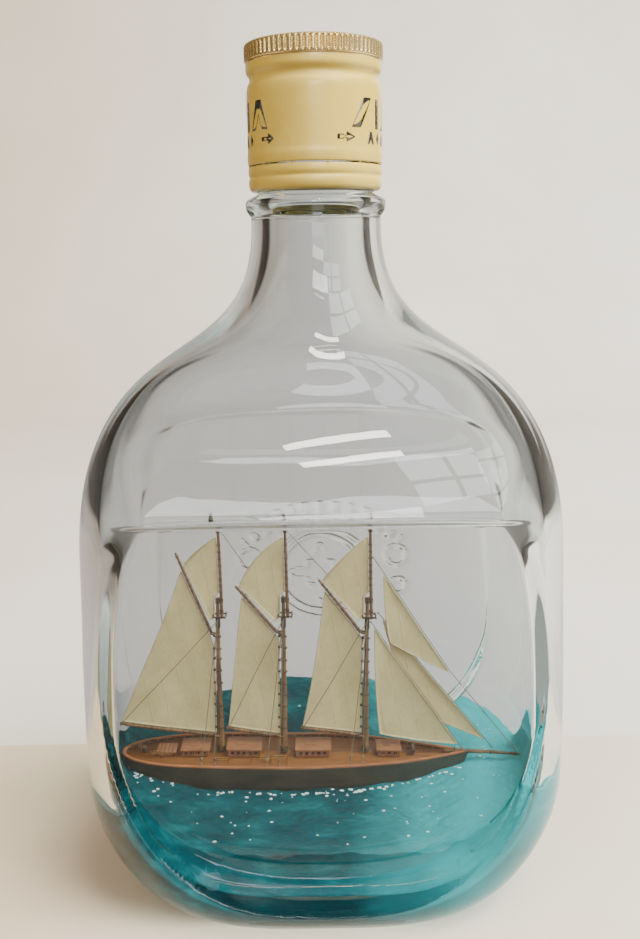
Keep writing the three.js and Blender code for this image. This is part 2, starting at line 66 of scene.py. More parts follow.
# ---- driving dimensions of the ship ---------------------------------------------------------
SEA_LEVEL, DECK_Z = 18.4, 22.9
BOW_DOWN = math.radians(1.1)
BOW_X, STERN_X, WIDEST_X, HALF_BEAM, KEEL_Z = 36.5, -51.6, -10.0, 9.4, 12.5
RAIL_WIDTH = 0.8
DECK_TOP = DECK_Z + 0.2 + GAP
HOUNDS_Z = 60.2
MASTS = {
    "mizzen": dict(x=-26.7, peak=(-37.0, 76.4), throat=55.2, boom_end=(-51.9, 31.2), tack=27.9,
                   topsail_foot=0.86, roach=0.4),
    "main": dict(x=-10.3, peak=(-22.1, 67.9), throat=55.6, boom_end=(-24.9, 29.8), tack=28.0,
                 topsail_foot=0.97, roach=1.5),
    "fore": dict(x=10.5, peak=(-1.4, 69.4), throat=56.0, boom_end=(-5.9, 30.0), tack=27.9,
                 topsail_foot=0.97, roach=0.4),
}
MAST_FOOT, MAST_HEAD, MAST_TOP = 0.85, 0.42, 65.0
TOP_HEEL, TOP_HEAD, TOP_BOTTOM, TOP_END, TOP_AHEAD, TOP_RAKE = 0.32, 0.24, 59.4, 85.2, 1.1, 0.9
GAFF_RADIUS, BOOM_RADIUS, LINE = 0.42, 0.5, 0.13


# ---- small helpers --------------------------------------------------------------------------
def smooth(value, low, high):
    """Rises from 0 at low to 1 at high along an S curve."""
    t = np.clip((value - low) / (high - low), 0, 1)
    return t * t * (3 - 2 * t)


def mix(a, b, t):
    return a + (b - a) * t


def sine_noise(x, y, seed, size):
    """A smooth, repeatable roughness, mostly between -1 and 1, whose features are about size wide."""
    rng = np.random.default_rng(seed)
    waves = 9
    spans = ((0, 6.3), (0, 6.3), (0.6, 1.7))
    angles, phases, paces = (rng.uniform(low, high, waves) for low, high in spans)
    total = 0
    for angle, phase, pace in zip(angles, phases, paces):
        total = total + np.sin((x * np.cos(angle) + y * np.sin(angle)) * 6.283 * pace / size + phase)
    return total / 4


def aside_of(direction):
    """A direction well away from the one given, to measure turns from."""
    return np.array([0, 1.0, 0]) if abs(direction[1]) < 0.8 else np.array([1.0, 0, 0])


def resampled(points, step):
    """The same path or profile with points at most about step apart."""
    points = np.asarray(points, float)
    away = np.concatenate([[0], np.cumsum(np.linalg.norm(np.diff(points, axis=0), axis=1))])
    at = np.linspace(0, away[-1], max(int(away[-1] / step), 2))
    return np.stack([np.interp(at, away, column) for column in points.T], -1)


class Shape:
    """The points and faces of one piece, in millimetres."""

    def __init__(self):
        self.points, self.faces, self.count = [], [], 0

    def add(self, points, faces):
        points = np.asarray(points, float).reshape(-1, 3)
        self.points.append(points)
        self.faces.append(np.asarray(faces, int) + self.count if len(faces) else np.zeros((0, 4), int))
        self.count += len(points)
        return self

    def grid(self, points, close_rows=False, close_cols=True, cap=True, flip=False):
        """A sheet of quads over points[row][column]; cap closes its first and last rows with a fan."""
        rows, cols = points.shape[:2]
        i = np.arange(rows if close_rows else rows - 1)[:, None]
        j = np.arange(cols if close_cols else cols - 1)[None, :]
        i2, j2 = (i + 1) % rows, (j + 1) % cols
        corners = (i * cols + j, i * cols + j2, i2 * cols + j2, i2 * cols + j)
        quads = np.stack(np.broadcast_arrays(*corners), -1).reshape(-1, 4)
        every = points.reshape(-1, 3)
        if cap and not close_rows:
            every = np.concatenate([every, [points[0].mean(0), points[-1].mean(0)]])
            k = np.arange(cols)
            after, middle, last = (k + 1) % cols, np.full(cols, rows * cols), (rows - 1) * cols
            quads = np.concatenate([quads, np.stack([middle, after, k, k], -1),
                                    np.stack([middle + 1, last + k, last + after, last + after], -1)])
        return self.add(every, quads[:, ::-1] if flip else quads)

    def tube(self, path, radius, sides=14, closed=False, lead=None):
        """A round bar along path whose radius is one value, or one for each point."""
        path = np.asarray(path, float)
        radius = np.broadcast_to(np.asarray(radius, float), len(path))
        along = np.roll(path, -1, 0) - np.roll(path, 1, 0) if closed else np.gradient(path, axis=0)
        along /= np.linalg.norm(along, axis=1)[:, None]
        side = np.cross(along, aside_of(along[0]) if lead is None else lead)
        side /= np.linalg.norm(side, axis=1)[:, None]
        up = np.cross(side, along)
        turn = np.linspace(0, 2 * math.pi, sides, endpoint=False)
        ring = np.cos(turn)[None, :, None] * side[:, None] + np.sin(turn)[None, :, None] * up[:, None]
        return self.grid(path[:, None] + ring * radius[:, None, None], close_rows=closed, flip=True)

    def hoop(self, centre, axis, big, small, sides=24):
        """A ring of round bar."""
        axis = np.asarray(axis, float) / np.linalg.norm(axis)
        u = np.cross(axis, aside_of(axis))
        u /= np.linalg.norm(u)
        v = np.cross(axis, u)
        turn = np.linspace(0, 2 * math.pi, sides, endpoint=False)[:, None]
        path = np.asarray(centre) + big * (np.cos(turn) * u + np.sin(turn) * v)
        return self.tube(path, small, 8, True, axis)

    def block(self, centre, size, lean=0.0):
        """A block standing on centre; lean draws its top in on every side."""
        (cx, cy, cz), (w, d, h) = centre, size
        corners = ((-1, -1), (1, -1), (1, 1), (-1, 1))
        low = [(cx + sx * w / 2, cy + sy * d / 2, cz) for sx, sy in corners]
        w, d = w - 2 * lean, d - 2 * lean
        high = [(cx + sx * w / 2, cy + sy * d / 2, cz + h) for sx, sy in corners]
        sides = [(0, 1, 5, 4), (1, 2, 6, 5), (2, 3, 7, 6), (3, 0, 4, 7)]
        return self.add(low + high, [(3, 2, 1, 0), (4, 5, 6, 7), *sides])

    def blob(self, centre, radii, sides=8, rings=5):
        """A small rounded lump."""
        lift = np.linspace(-1.35, 1.35, rings)[:, None]
        turn = np.linspace(0, 2 * math.pi, sides, endpoint=False)[None, :]
        spread = np.stack(np.broadcast_arrays(np.cos(lift) * np.cos(turn), np.cos(lift) * np.sin(turn),
                                              np.sin(lift) + 0 * turn), -1)
        return self.grid(np.asarray(centre) + spread * np.asarray(radii))


def tip(points):
    """The ship is drawn upright and tipped down by the bow about its deck's middle."""
    x, y, z = np.moveaxis(np.asarray(points, float), -1, 0)
    z = z - DECK_Z
    c, s = math.cos(BOW_DOWN), math.sin(BOW_DOWN)
    return np.stack([x * c + z * s, y, z * c - x * s + DECK_Z], -1)


def make(name, shape, material, slot, body="bottle", replaces=(), ship=False, bevel=0, flat=False,
         uv=None):
    """Turns a Shape into a piece that rides on a CAD body."""
    points = np.concatenate(shape.points)
    if ship:
        points = tip(points)
    faces = [tuple(dict.fromkeys(face)) for face in np.concatenate(shape.faces).tolist()]
    mesh = bpy.data.meshes.new(name)
    mesh.from_pydata((points * MM).tolist(), [], faces)
    if not flat:
        mesh.shade_smooth()
    if uv is not None:
        layer = mesh.uv_layers.new(name="cloth")
        corner = np.zeros(len(mesh.loops), int)
        mesh.loops.foreach_get("vertex_index", corner)
        layer.data.foreach_set("uv", uv[corner].astype(np.float32).ravel())
    piece = bpy.data.objects.new(name, mesh)
    bpy.context.scene.collection.objects.link(piece)
    mesh.materials.append(material)
    if bevel:
        rounded_edges = piece.modifiers.new("edges", "BEVEL")
        rounded_edges.width = bevel * MM
        rounded_edges.segments = 2
        rounded_edges.limit_method = "ANGLE"
        rounded_edges.harden_normals = True
    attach(piece, body)
    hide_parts(*replaces)
    return piece


def fit(name, shape, material, slot, node=None, **looks):
    """Makes a piece of the ship, which stands for a CAD node if one is named."""
    return make(name, shape, material, slot, replaces=[node] if node else (), ship=True, **looks)


# ---- materials ------------------------------------------------------------------------------
WHITE = (255, 255, 255)


def srgb(r, g, b):
    """A colour given as it looks on screen, 0 to 255, as the light values that shaders use."""
    return [((v / 255 + 0.055) / 1.055) ** 2.4 if v > 10 else v / 255 / 12.92 for v in (r, g, b)] + [1.0]


class Nodes:
    """Short names for building the nodes of one material, or of the world."""

    def __init__(self, name, kind="Material"):
        owners = bpy.data.worlds if kind == "World" else bpy.data.materials
        self.owner = owners.new(name)
        self.owner.use_nodes = True
        self.tree = self.owner.node_tree
        self.tree.nodes.clear()
        self.out = self.tree.nodes.new("ShaderNodeOutput" + kind)
        where = self.tree.nodes.new("ShaderNodeTexCoord")
        self.place, self.direction = where.outputs["Object"], where.outputs["Generated"]

    def set(self, socket, value):
        if isinstance(value, bpy.types.NodeSocket):
            self.tree.links.new(value, socket)
        else:
            socket.default_value = value

    def node(self, kind, settings=None, **inputs):
        """Adds a node; an input's name is written with _ for each space."""
        n = self.tree.nodes.new("ShaderNode" + kind)
        for key, value in (settings or {}).items():
            setattr(n, key, value)
        for key, value in inputs.items():
            self.set(n.inputs[key.replace("_", " ")], value)
        return n

    def axes(self, at=None):
        """The x, y and z of a place."""
        return self.node("SeparateXYZ", Vector=at or self.place).outputs

    def stretched(self, scale, turn=(0, 0, 0)):
        return self.node("Mapping", Vector=self.place, Scale=scale, Rotation=turn).outputs[0]

    def noise(self, size, detail=4.0, rough=0.55, at=None):
        """Noise whose features are about size millimetres wide."""
        scale = 1 / (size * MM)
        n = self.node("TexNoise", Vector=at or self.place, Scale=scale, Detail=detail, Roughness=rough)
        return n.outputs["Fac"]

    def ramp(self, value, stops):
        n = self.node("ValToRGB", Fac=value)
        elements = n.color_ramp.elements
        while len(elements) < len(stops):
            elements.new(0.5)
        for element, (position, colour) in zip(elements, stops):
            element.position, element.color = position, srgb(*colour)
        return n.outputs["Color"]

    def between(self, value, low, high, start=0.3, end=0.7):
        """Runs from low, where value is start, to high, where value is end."""
        n = self.node("MapRange", Value=value, From_Min=start, From_Max=end, To_Min=low, To_Max=high)
        return n.outputs[0]

    def maths(self, how, a, b=0.0):
        n = self.node("Math", {"operation": how})
        self.set(n.inputs[0], a)
        self.set(n.inputs[1], b)
        return n.outputs[0]

    def times(self, a, b):
        return self.maths("MULTIPLY", a, b)

    def plus(self, a, b):
        return self.maths("ADD", a, b)

    def blend(self, how, amount, a, b):
        """Blends colour b over colour a."""
        n = self.node("Mix", {"data_type": "RGBA", "blend_type": how})
        colour = srgb(*b) if isinstance(b, tuple) else b
        for socket, value in ((n.inputs[0], amount), (n.inputs[6], a), (n.inputs[7], colour)):
            self.set(socket, value)
        return n.outputs[2]

    def dappled(self, colour, amount, pattern, low, high, tone):
        """Multiplies a colour by a tone where the pattern is below low, and leaves it above high."""
        return self.blend("MULTIPLY", amount, colour, self.ramp(pattern, [(low, tone), (high, WHITE)]))

    def bump(self, height, distance, strength=1.0):
        """Relief whose full height is about distance millimetres."""
        return self.node("Bump", Height=height, Distance=distance * MM, Strength=strength).outputs[0]

    def principled(self, **inputs):
        return self.node("BsdfPrincipled", None, **inputs)

    def mixed(self, share, first, second):
        """A share of the second shader over the first."""
        n = self.node("MixShader", Fac=share)
        self.set(n.inputs[1], first.outputs[0])
        self.set(n.inputs[2], second.outputs[0])
        return n

    def finish(self, shader):
        self.set(self.out.inputs["Surface"], shader.outputs[0])
        return self.owner


def clear_glass():
    """Clear glass that lets light through to what it holds, and lets out light trapped in its walls."""
    n = Nodes("clear_glass")
    turns_kept = 4.5
    grease = n.between(n.noise(16, 3), 0.0, 0.035, 0.52, 0.75)
    waves = n.bump(n.noise(22, 2), 0.12, 0.35)
    glass = n.principled(Base_Color=srgb(244, 248, 248), Roughness=grease, IOR=1.5, Normal=waves,
                         Transmission_Weight=1.0)
    passing = n.node("BsdfTransparent", Color=srgb(232, 238, 238))
    path = n.node("LightPath").outputs
    trapped = n.maths("GREATER_THAN", path["Ray Depth"], turns_kept)
    depth = n.node("VolumeAbsorption", Color=srgb(205, 226, 224), Density=9.0)
    n.set(n.out.inputs["Volume"], depth.outputs[0])
    return n.finish(n.mixed(n.maths("MAXIMUM", path["Is Shadow Ray"], trapped), glass, passing))


def grained(name, dark, light, size, rough, bump, stretch=(1, 1, 1), metal=0.0, coat=0.0):
    """A surface whose colour, gloss and relief follow one stretched noise, such as wood or metal."""
    n = Nodes(name)
    fibre = n.noise(size, 6, 0.6, n.stretched(stretch))
    colour = n.ramp(fibre, [(0.32, dark), (0.68, light)])
    colour = n.dappled(colour, 0.35, n.noise(size * 5, 3), 0.35, 0.65, (190, 184, 176))
    return n.finish(n.principled(Base_Color=colour, Roughness=n.between(fibre, *rough),
                                 Normal=n.bump(fibre, bump, 0.6), Metallic=metal, Coat_Weight=coat))


def planked(name, dark, light, width):
    """Varnished boards that run fore and aft, with dark seams between them."""
    n = Nodes(name)
    grain = n.noise(1.6, 6, 0.6, n.stretched((0.16, 1, 1)))
    across = n.times(n.axes()["Y"], 1 / (width * MM))
    edge = n.maths("ABSOLUTE", n.maths("SUBTRACT", n.maths("FRACT", across), 0.5))
    seam = n.between(edge, 0.0, 1.0, 0.42, 0.47)
    tone = n.node("TexWhiteNoise", {"noise_dimensions": "1D"}, W=n.maths("FLOOR", across))
    shade = n.between(tone.outputs["Value"], 0.0, 0.28, 0, 1)
    colour = n.blend("MIX", shade, n.ramp(grain, [(0.3, dark), (0.7, light)]), dark)
    colour = n.blend("MIX", n.times(seam, 0.7), colour, (52, 32, 22))
    relief = n.bump(n.maths("SUBTRACT", n.times(grain, 0.3), seam), 0.06)
    gloss = n.between(grain, 0.42, 0.6)
    return n.finish(n.principled(Base_Color=colour, Roughness=gloss, Normal=relief))


def sailcloth():
    """Stiffened cream cloth: seams between narrow cloths, a fine weave and some light coming through."""
    n = Nodes("sailcloth")
    cloth_width, threads, light_through = 4.2, 22.0, 0.3
    across, along, _ = n.axes(n.node("UVMap", {"uv_map": "cloth"}).outputs[0])
    strip = n.maths("FRACT", n.maths("DIVIDE", across, cloth_width))
    seam = n.between(n.maths("ABSOLUTE", n.maths("SUBTRACT", strip, 0.5)), 0.0, 1.0, 0.462, 0.485)
    warp, weft = (n.maths("SINE", n.times(way, threads)) for way in (across, along))
    speck = n.noise(0.9, 5, 0.7)
    colour = n.ramp(n.noise(9, 5, 0.6), [(0.3, (222, 197, 143)), (0.72, (242, 220, 167))])
    colour = n.dappled(colour, 0.3, speck, 0.28, 0.5, (205, 188, 148))
    colour = n.blend("MIX", n.times(seam, 0.08), colour, (150, 128, 88))
    height = n.plus(n.times(n.times(warp, weft), 0.25), n.plus(seam, n.times(speck, 0.6)))
    relief = n.bump(height, 0.05)
    front = n.principled(Base_Color=colour, Roughness=n.between(speck, 0.72, 0.92), Normal=relief,
                         Sheen_Weight=0.25)
    back = n.node("BsdfTranslucent", Color=colour, Normal=relief)
    return n.finish(n.mixed(light_through, front, back))


def putty():
    """Tinted putty: streaks, paler towards the bow, with white flecks and a faint painted glow in the heel:
    emission that stands in for light shining through the putty.
    """
    n = Nodes("sea_putty")
    streak = n.noise(5, 6, 0.62, n.stretched((0.45, 1.2, 1), (0, 0, 0.35)))
    fine_noise = n.noise(0.8, 6, 0.65)
    across, _, up = n.axes()
    colour = n.ramp(streak, [(0.3, (2, 44, 52)), (0.55, (3, 66, 72)), (0.8, (18, 104, 108))])
    paler = n.between(n.plus(across, n.times(n.noise(26, 3), 0.03)), 0.0, 0.8, 0.022, 0.056)
    colour = n.blend("MIX", paler, colour, (60, 168, 174))
    flecks = n.between(fine_noise, 0.0, 1.0, 0.72, 0.76)
    colour = n.blend("MIX", n.times(flecks, 0.55), colour, (206, 222, 218))
    relief = n.bump(n.plus(streak, n.times(fine_noise, 0.35)), 0.35, 0.7)
    return n.finish(n.principled(
        Base_Color=colour, Roughness=n.between(streak, 0.4, 0.65), Normal=relief,
        Specular_IOR_Level=0.05, Emission_Color=colour,
        # painted glow: the putty's lowest part, up to about 6 mm, emits its own colour, fading out by about
        # 17 mm
        Emission_Strength=n.between(up, 0.9, 0.0, 0.006, 0.017),
        Subsurface_Weight=0.2, Subsurface_Radius=(0.5, 1.0, 1.0), Subsurface_Scale=0.003))


def lacquer(name, dark, light, rough, metal):
    """A printed or anodised coat over drawn metal, a little uneven, with fine rubbed marks."""
    n = Nodes(name)
    cloudy, rubbed = n.noise(7, 4), n.noise(0.9, 4, 0.6)
    colour = n.ramp(cloudy, [(0.3, dark), (0.7, light)])
    colour = n.dappled(colour, 0.05, rubbed, 0.3, 0.6, (170, 160, 140))
    return n.finish(n.principled(
        Base_Color=colour, Roughness=n.between(rubbed, *rough), Normal=n.bump(cloudy, 0.02, 0.4),
        Metallic=metal, Coat_Weight=0.35, Coat_Roughness=0.12))


GLASS = clear_glass()
SEA = putty()
CLOTH = sailcloth()
CREAM = lacquer("cream_lacquer", (234, 202, 88), (243, 212, 102), (0.3, 0.42), 0.0)
GOLD = lacquer("gold_anodised", (238, 198, 116), (252, 224, 156), (0.16, 0.3), 0.75)
SILVER = lacquer("silver_print", (84, 79, 70), (112, 107, 98), (0.2, 0.32), 0.8)
WHITE_PLASTIC = grained("insert_plastic", (226, 226, 220), (240, 240, 236), 3, (0.4, 0.52), 0.02)
FOIL = grained("liner_foil", (176, 178, 180), (204, 206, 208), 1.2, (0.22, 0.4), 0.03, metal=1.0)
FOAM = grained("liner_foam", (224, 218, 202), (242, 238, 226), 0.5, (0.8, 0.95), 0.06)
FOAM_WHITE = grained("sea_foam", (214, 224, 222), (248, 250, 248), 0.4, (0.45, 0.7), 0.05)
HULL_BLACK = grained("hull_paint", (46, 39, 29), (68, 59, 45), 3, (0.3, 0.46), 0.04, (0.3, 1, 1),
                     coat=0.2)
DECK_BOARDS = planked("deck_boards", (104, 60, 22), (134, 80, 34), 0.75)
RAIL_BROWN = grained("rail_wood", (118, 66, 36), (164, 98, 58), 1.5, (0.4, 0.6), 0.03, (0.2, 1, 1))
HOUSE_BROWN = grained("house_wood", (112, 66, 42), (158, 100, 68), 1.2, (0.4, 0.6), 0.03, (1, 1, 0.3))
ROOF_BROWN = grained("roof_wood", (120, 72, 40), (150, 95, 56), 1.5, (0.4, 0.6), 0.03, (0.25, 1, 1))
FITTING_BROWN = grained("fitting_wood", (58, 40, 27), (92, 66, 44), 1, (0.4, 0.6), 0.03, (1, 1, 0.3))
SPAR_BROWN = grained("spar_wood", (86, 58, 36), (132, 96, 62), 1.2, (0.42, 0.62), 0.04, (1, 1, 0.14))
LASHING = grained("lashing", (44, 34, 24), (86, 68, 48), 0.35, (0.7, 0.9), 0.06)
ROPE = grained("rigging_thread", (96, 84, 68), (140, 124, 100), 0.4, (0.7, 0.92), 0.05)
BOLT_ROPE = grained("bolt_rope", (176, 156, 112), (214, 196, 152), 0.4, (0.75, 0.92), 0.05)
BRASS = grained("pin_brass", (150, 112, 54), (204, 164, 92), 1, (0.28, 0.45), 0.02, metal=1.0)
WINDOW_DARK = grained("window_panes", (18, 16, 14), (44, 38, 32), 1, (0.15, 0.3), 0.01)


# ---- bottle ---------------------------------------------------------------------------------
def bezier(points, steps=500):
    """Heights and radii along a cubic curve given as (radius, height) points."""
    t = np.linspace(0, 1, steps)[:, None]
    a, b, c, d = (np.array(p, float) for p in points)
    curve = a * (1 - t) ** 3 + 3 * b * t * (1 - t) ** 2 + 3 * c * t * t * (1 - t) + d * t ** 3
    return curve[:, 1], curve[:, 0]


FRONT_SHOULDER = bezier([(BODY_HALF_WIDTH - SIDE_TAPER, SHOULDER_WIDE), (55.8, 138.2), (13.1, 117.8),
                         (NECK_RADIUS, NECK_TOP)])
SIDE_SHOULDER = bezier([(BODY_HALF_DEPTH, SHOULDER_DEEP), (BODY_HALF_DEPTH, 118), (14, 115),
                        (NECK_RADIUS, NECK_TOP)])


def rounding(z, radius):
    """How far the wall draws in at height z where the base is rounded with this radius."""
    below = np.clip(radius - z, 0, radius)
    return radius - np.sqrt(radius ** 2 - below ** 2)


def half_width(z):
    body = BODY_HALF_WIDTH - SIDE_TAPER * smooth(z, 40, SHOULDER_WIDE) - rounding(z, BASE_WIDE)
    return np.where(z > SHOULDER_WIDE, np.interp(z, *FRONT_SHOULDER), body)


def half_depth(z):
    body = BODY_HALF_DEPTH - rounding(z, BASE_DEEP)
    return np.where(z > SHOULDER_DEEP, np.interp(z, *SIDE_SHOULDER), body)


def flask(turn, radius, z, inset=0.0):
    """The flask's x and y at a turn about its middle, where a round bottle would have this radius."""
    ratio = np.minimum((half_depth(z + inset) - inset) / (half_width(z + inset) - inset), 1.25)
    power = mix(BODY_SQUARENESS, 2, smooth(z, 98, 136))
    c, s = np.cos(turn), np.sin(turn)
    reach = radius / (np.abs(c) ** power + np.abs(s) ** power) ** (1 / power)
    return reach * c, reach * s * ratio


def inside_radius(z, clearance=0.0):
    inset = WALL + clearance
    corner = half_width(np.array(30.0)) - inset - rounding(z - FLOOR - clearance, BASE_INNER)
    above = np.maximum(half_width(z) - inset, NECK_BORE - clearance)
    above = mix(above, BORE - clearance, smooth(z, 160, 165))
    return np.where(z < FLOOR + BASE_INNER, corner, above)


def inside_point(turn, z, clearance=0.0):
    """A point on the inner face of the glass, moved inwards by a clearance."""
    x, y = flask(turn, inside_radius(z, clearance), z, WALL + clearance)
    flat = PANEL_Y - WALL - clearance
    below = 8 * smooth(beyond_foot(x, z), 0.5, 7)
    lean = np.minimum(half_depth(z) - half_depth(PANEL_TOP), 0)
    above = lean + 60 * smooth(z, PANEL_TOP + 5, 140) ** 2
    blend = mix(0.6, 5.0, smooth(z, PANEL_TOP, PANEL_TOP + 14))
    return x, np.sign(y) * soft_min(np.abs(y), flat + below + above, blend)


def soft_min(a, b, radius):
    """The smaller of two values, with the corner between them rounded."""
    h = np.clip(0.5 + 0.5 * (b - a) / radius, 0, 1)
    return b * (1 - h) + a * h - radius * h * (1 - h)


def beyond_foot(x, z):
    """How far a point lies outside a panel's round foot; negative inside it."""
    down = np.maximum(PANEL_WIDEST - z, 0)
    share = ((np.abs(x) / PANEL_HALF_WIDTH) ** PANEL_POWER
             + (down / (PANEL_WIDEST - PANEL_BOTTOM)) ** PANEL_POWER) ** (1 / PANEL_POWER)
    foot = np.hypot(x, down) * (1 - 1 / np.maximum(share, 1e-3))
    return mix(foot, -20.0, smooth(z, 56, 72))


def beyond_panel(x, z):
    return np.maximum(beyond_foot(x, z), z - PANEL_TOP)


def panel_limit(x, z, draft):
    """How deep the glass may reach: flat inside a panel, with a drafted wall round it."""
    fillet = 0.35
    out = beyond_panel(x, z)
    turn_in = np.clip(out + fillet, 0, None) ** 2 / (4 * fillet)
    return PANEL_Y + draft * np.where(out > fillet, out, turn_in)


def stroke(distance, half=0.5):
    """A raised line's height share at this distance from its middle."""
    return 1 - smooth(np.abs(distance), half * 0.5, half * 1.4)


def emblem(x, z):
    """A plain compass star in a ring, with scrolls beside it and short bars in an arch above."""
    middle = 60.0
    rise = z - middle
    away, angle = np.hypot(x, rise), np.arctan2(x, rise)
    star_edge = 3.4 + 5.4 * np.abs(np.cos(2 * angle)) ** 5 + 1.6 * np.abs(np.sin(2 * angle)) ** 9
    height = np.maximum(stroke(away - 11.5), stroke(away - star_edge, 0.5))
    height = np.maximum(height, stroke(away - 13.6, 0.4))
    for side in (-1, 1):
        for across, up, size in ((19.5, 4.0, 4.2), (20.5, -5.0, 3.2)):
            dx, dz = x - side * across, rise - up
            scroll = np.hypot(dx, dz) - size * (0.65 + 0.35 * np.sin(np.arctan2(dz, side * dx) + 1.0))
            height = np.maximum(height, stroke(scroll))
    reach, lean = np.hypot(x, z - 44.0), np.arctan2(x, z - 44.0)
    bars = smooth(np.cos(lean * 52), -0.35, 0.15) * (np.abs(lean) < 0.72)
    band = 1 - smooth(np.abs(reach - 33.5), 1.2, 2.0)
    return np.maximum(height, bars * band)


def rounded_profile(points, passes=3):
    """Cuts the corners of a profile again and again, so that they become rounds."""
    points = np.array(points, float)
    for _ in range(passes):
        first, second = points[:-1], points[1:]
        cut = np.empty((2 * len(first), 2))
        cut[0::2], cut[1::2] = mix(first, second, 0.25), mix(first, second, 0.75)
        points = np.concatenate([points[:1], cut, points[-1:]])
    return points


def thread_ridge(turn, z):
    """How far the screw thread stands out from the neck."""
    height = np.zeros(np.broadcast(turn, z).shape)
    around = np.mod(turn, 2 * math.pi) / (2 * math.pi)
    for lap in (0, 1):
        run = around + lap
        centre = THREAD_START + THREAD_PITCH * run
        ends = smooth(run, 0, 0.08) * (1 - smooth(run, THREAD_TURNS - 0.08, THREAD_TURNS))
        height = np.maximum(height, ends * (1 - smooth(np.abs(z - centre), 0.3, 1.05)))
    return height * (THREAD_RADIUS - FINISH_RADIUS)


# How far the glass rises for each mm beyond a panel's edge, and how round its edge is: first round
# the panel's sides and foot, then at its top.
BACK_DRAFT, FRONT_DRAFT = (2.0, 0.4), (4.0, 2.2)
BACK_FILLET, FRONT_FILLET = (1.2, 4.5), (0.8, 2.0)
EMBLEM_HEIGHT = 0.95


def outer_face(turn):
    """The outside of the glass, row by row from the middle of its base up over the lip."""
    base = resampled(rounded_profile([(0.4, PUSH_UP), (14, PUSH_UP), (BASE_RING_INNER - 1, 0.4),
                                      (BASE_RING_INNER, 0), (26.8, 0)]), 0.9)
    body = np.concatenate([np.arange(*run) for run in (
        (0.15, 6, 0.45), (6, 14, 0.3), (14, 44, 0.8), (44, 84, 0.5), (84, 91, 0.7), (91, 97, 0.3),
        (97, NECK_TOP - 1, 1.0))])
    finish = resampled(rounded_profile([
        (NECK_RADIUS, NECK_TOP - 1), (RING_RADIUS, 158.2), (RING_RADIUS + 0.1, 160.5),
        (BEAD_RADIUS, 161.4), (12.8, 162.0), (12.8, 165.2), (BEAD_RADIUS, 165.9), (BEAD_RADIUS, 167.3),
        (FINISH_RADIUS, 168.2), (FINISH_RADIUS, 171), (FINISH_RADIUS, LIP_TOP - 3), (FINISH_RADIUS, LIP_TOP),
        (BORE, LIP_TOP), (BORE, LIP_TOP - 2)]), 0.3)
    radius = np.concatenate([base[:, 0], half_width(body), finish[:, 0]])[:, None]
    z = np.concatenate([base[:, 1], body, finish[:, 1]])[:, None]
    radius = radius + np.where(radius > BORE + 1, thread_ridge(turn, z), 0)
    x, y = flask(turn, radius, z)
    z = np.broadcast_to(z, x.shape)
    at_top = smooth(z, PANEL_TOP - 8, PANEL_TOP - 4)
    panel = panel_limit(x, z, np.where(y > 0, mix(*BACK_DRAFT, at_top), mix(*FRONT_DRAFT, at_top)))
    on_back_panel = smooth(-beyond_panel(x, z), 0.5, 1.5) * (y > 0) * (z < PANEL_TOP)
    raised = EMBLEM_HEIGHT * emblem(x, z) * on_back_panel
    fillet = np.where(y > 0, mix(*BACK_FILLET, at_top), mix(*FRONT_FILLET, at_top))
    y = np.sign(y) * np.where(z < 150, soft_min(np.abs(y), panel, fillet), np.abs(y)) + raised
    return np.stack([x, y, z], -1)


def inner_face(turn):
    """The inside of the glass, row by row from the lip down to the middle of its floor."""
    runs = [np.arange(*run) for run in ((LIP_TOP - 2.5, 166, -2), (166, 158, -0.6), (158, 28, -1.2))]
    heel = FLOOR + BASE_INNER * (1 - np.sin(np.linspace(0, 1.5, 44)))
    down = np.concatenate([*runs, heel])[:, None]
    x, y = inside_point(turn, down)
    uneven = 1 + 0.0035 * sine_noise(x + y * 0.7, down + 0 * x, 5, 42) * smooth(down, 6, 20)
    wall = np.stack([x * uneven, y * uneven, np.broadcast_to(down, x.shape)], -1)
    shrink = np.linspace(1, 0.02, 16)[1:, None, None]
    floor = wall[-1:] * np.concatenate([shrink, shrink, np.ones_like(shrink)], -1)
    floor[..., 2] = FLOOR + (wall[-1:, :, 2] - FLOOR) * shrink[..., 0] ** 2
    return np.concatenate([wall, floor])


def glass_bottle():
    turn = np.linspace(0, 2 * math.pi, 560, endpoint=False)[None, :]
    shape = Shape().grid(np.concatenate([outer_face(turn), inner_face(turn)]))
    make("bottle_glass", shape, GLASS, "glass", replaces=["glass_bottle"])


glass_bottle()


# ---- cap ------------------------------------------------------------------------------------
CAP_TOP, CAP_RADIUS, KNURL_RADIUS, CAP_SHEET = 193.7, 15.1, 15.45, 0.5
GROOVE_Z, GROOVE_DEPTH, SKIRT_END = 186.3, 0.75, 168.0
RIBS = 74


def turned(profile, sides, change=None):
    """A closed ring profile turned about the bottle's axis; change moves radii by turn and height."""
    turn = np.linspace(0, 2 * math.pi, sides, endpoint=False)[None, :]
    radius, z = profile[:, :1], profile[:, 1:]
    radius = radius + (change(turn, radius, z) if change else 0)
    return np.stack([radius * np.cos(turn), radius * np.sin(turn), z + 0 * turn], -1)


def ribs(turn, radius, z):
    """How far the gold band's edge is cut back between its ribs."""
    share = np.mod(turn * RIBS / (2 * math.pi), 1) - 0.5
    groove = np.exp(-((0.5 - np.abs(share)) / 0.17) ** 2)
    band = smooth(z, 190.0, 190.5) * (1 - smooth(z, 192.9, 193.5)) * (radius > 14.8)
    return -0.42 * groove * band


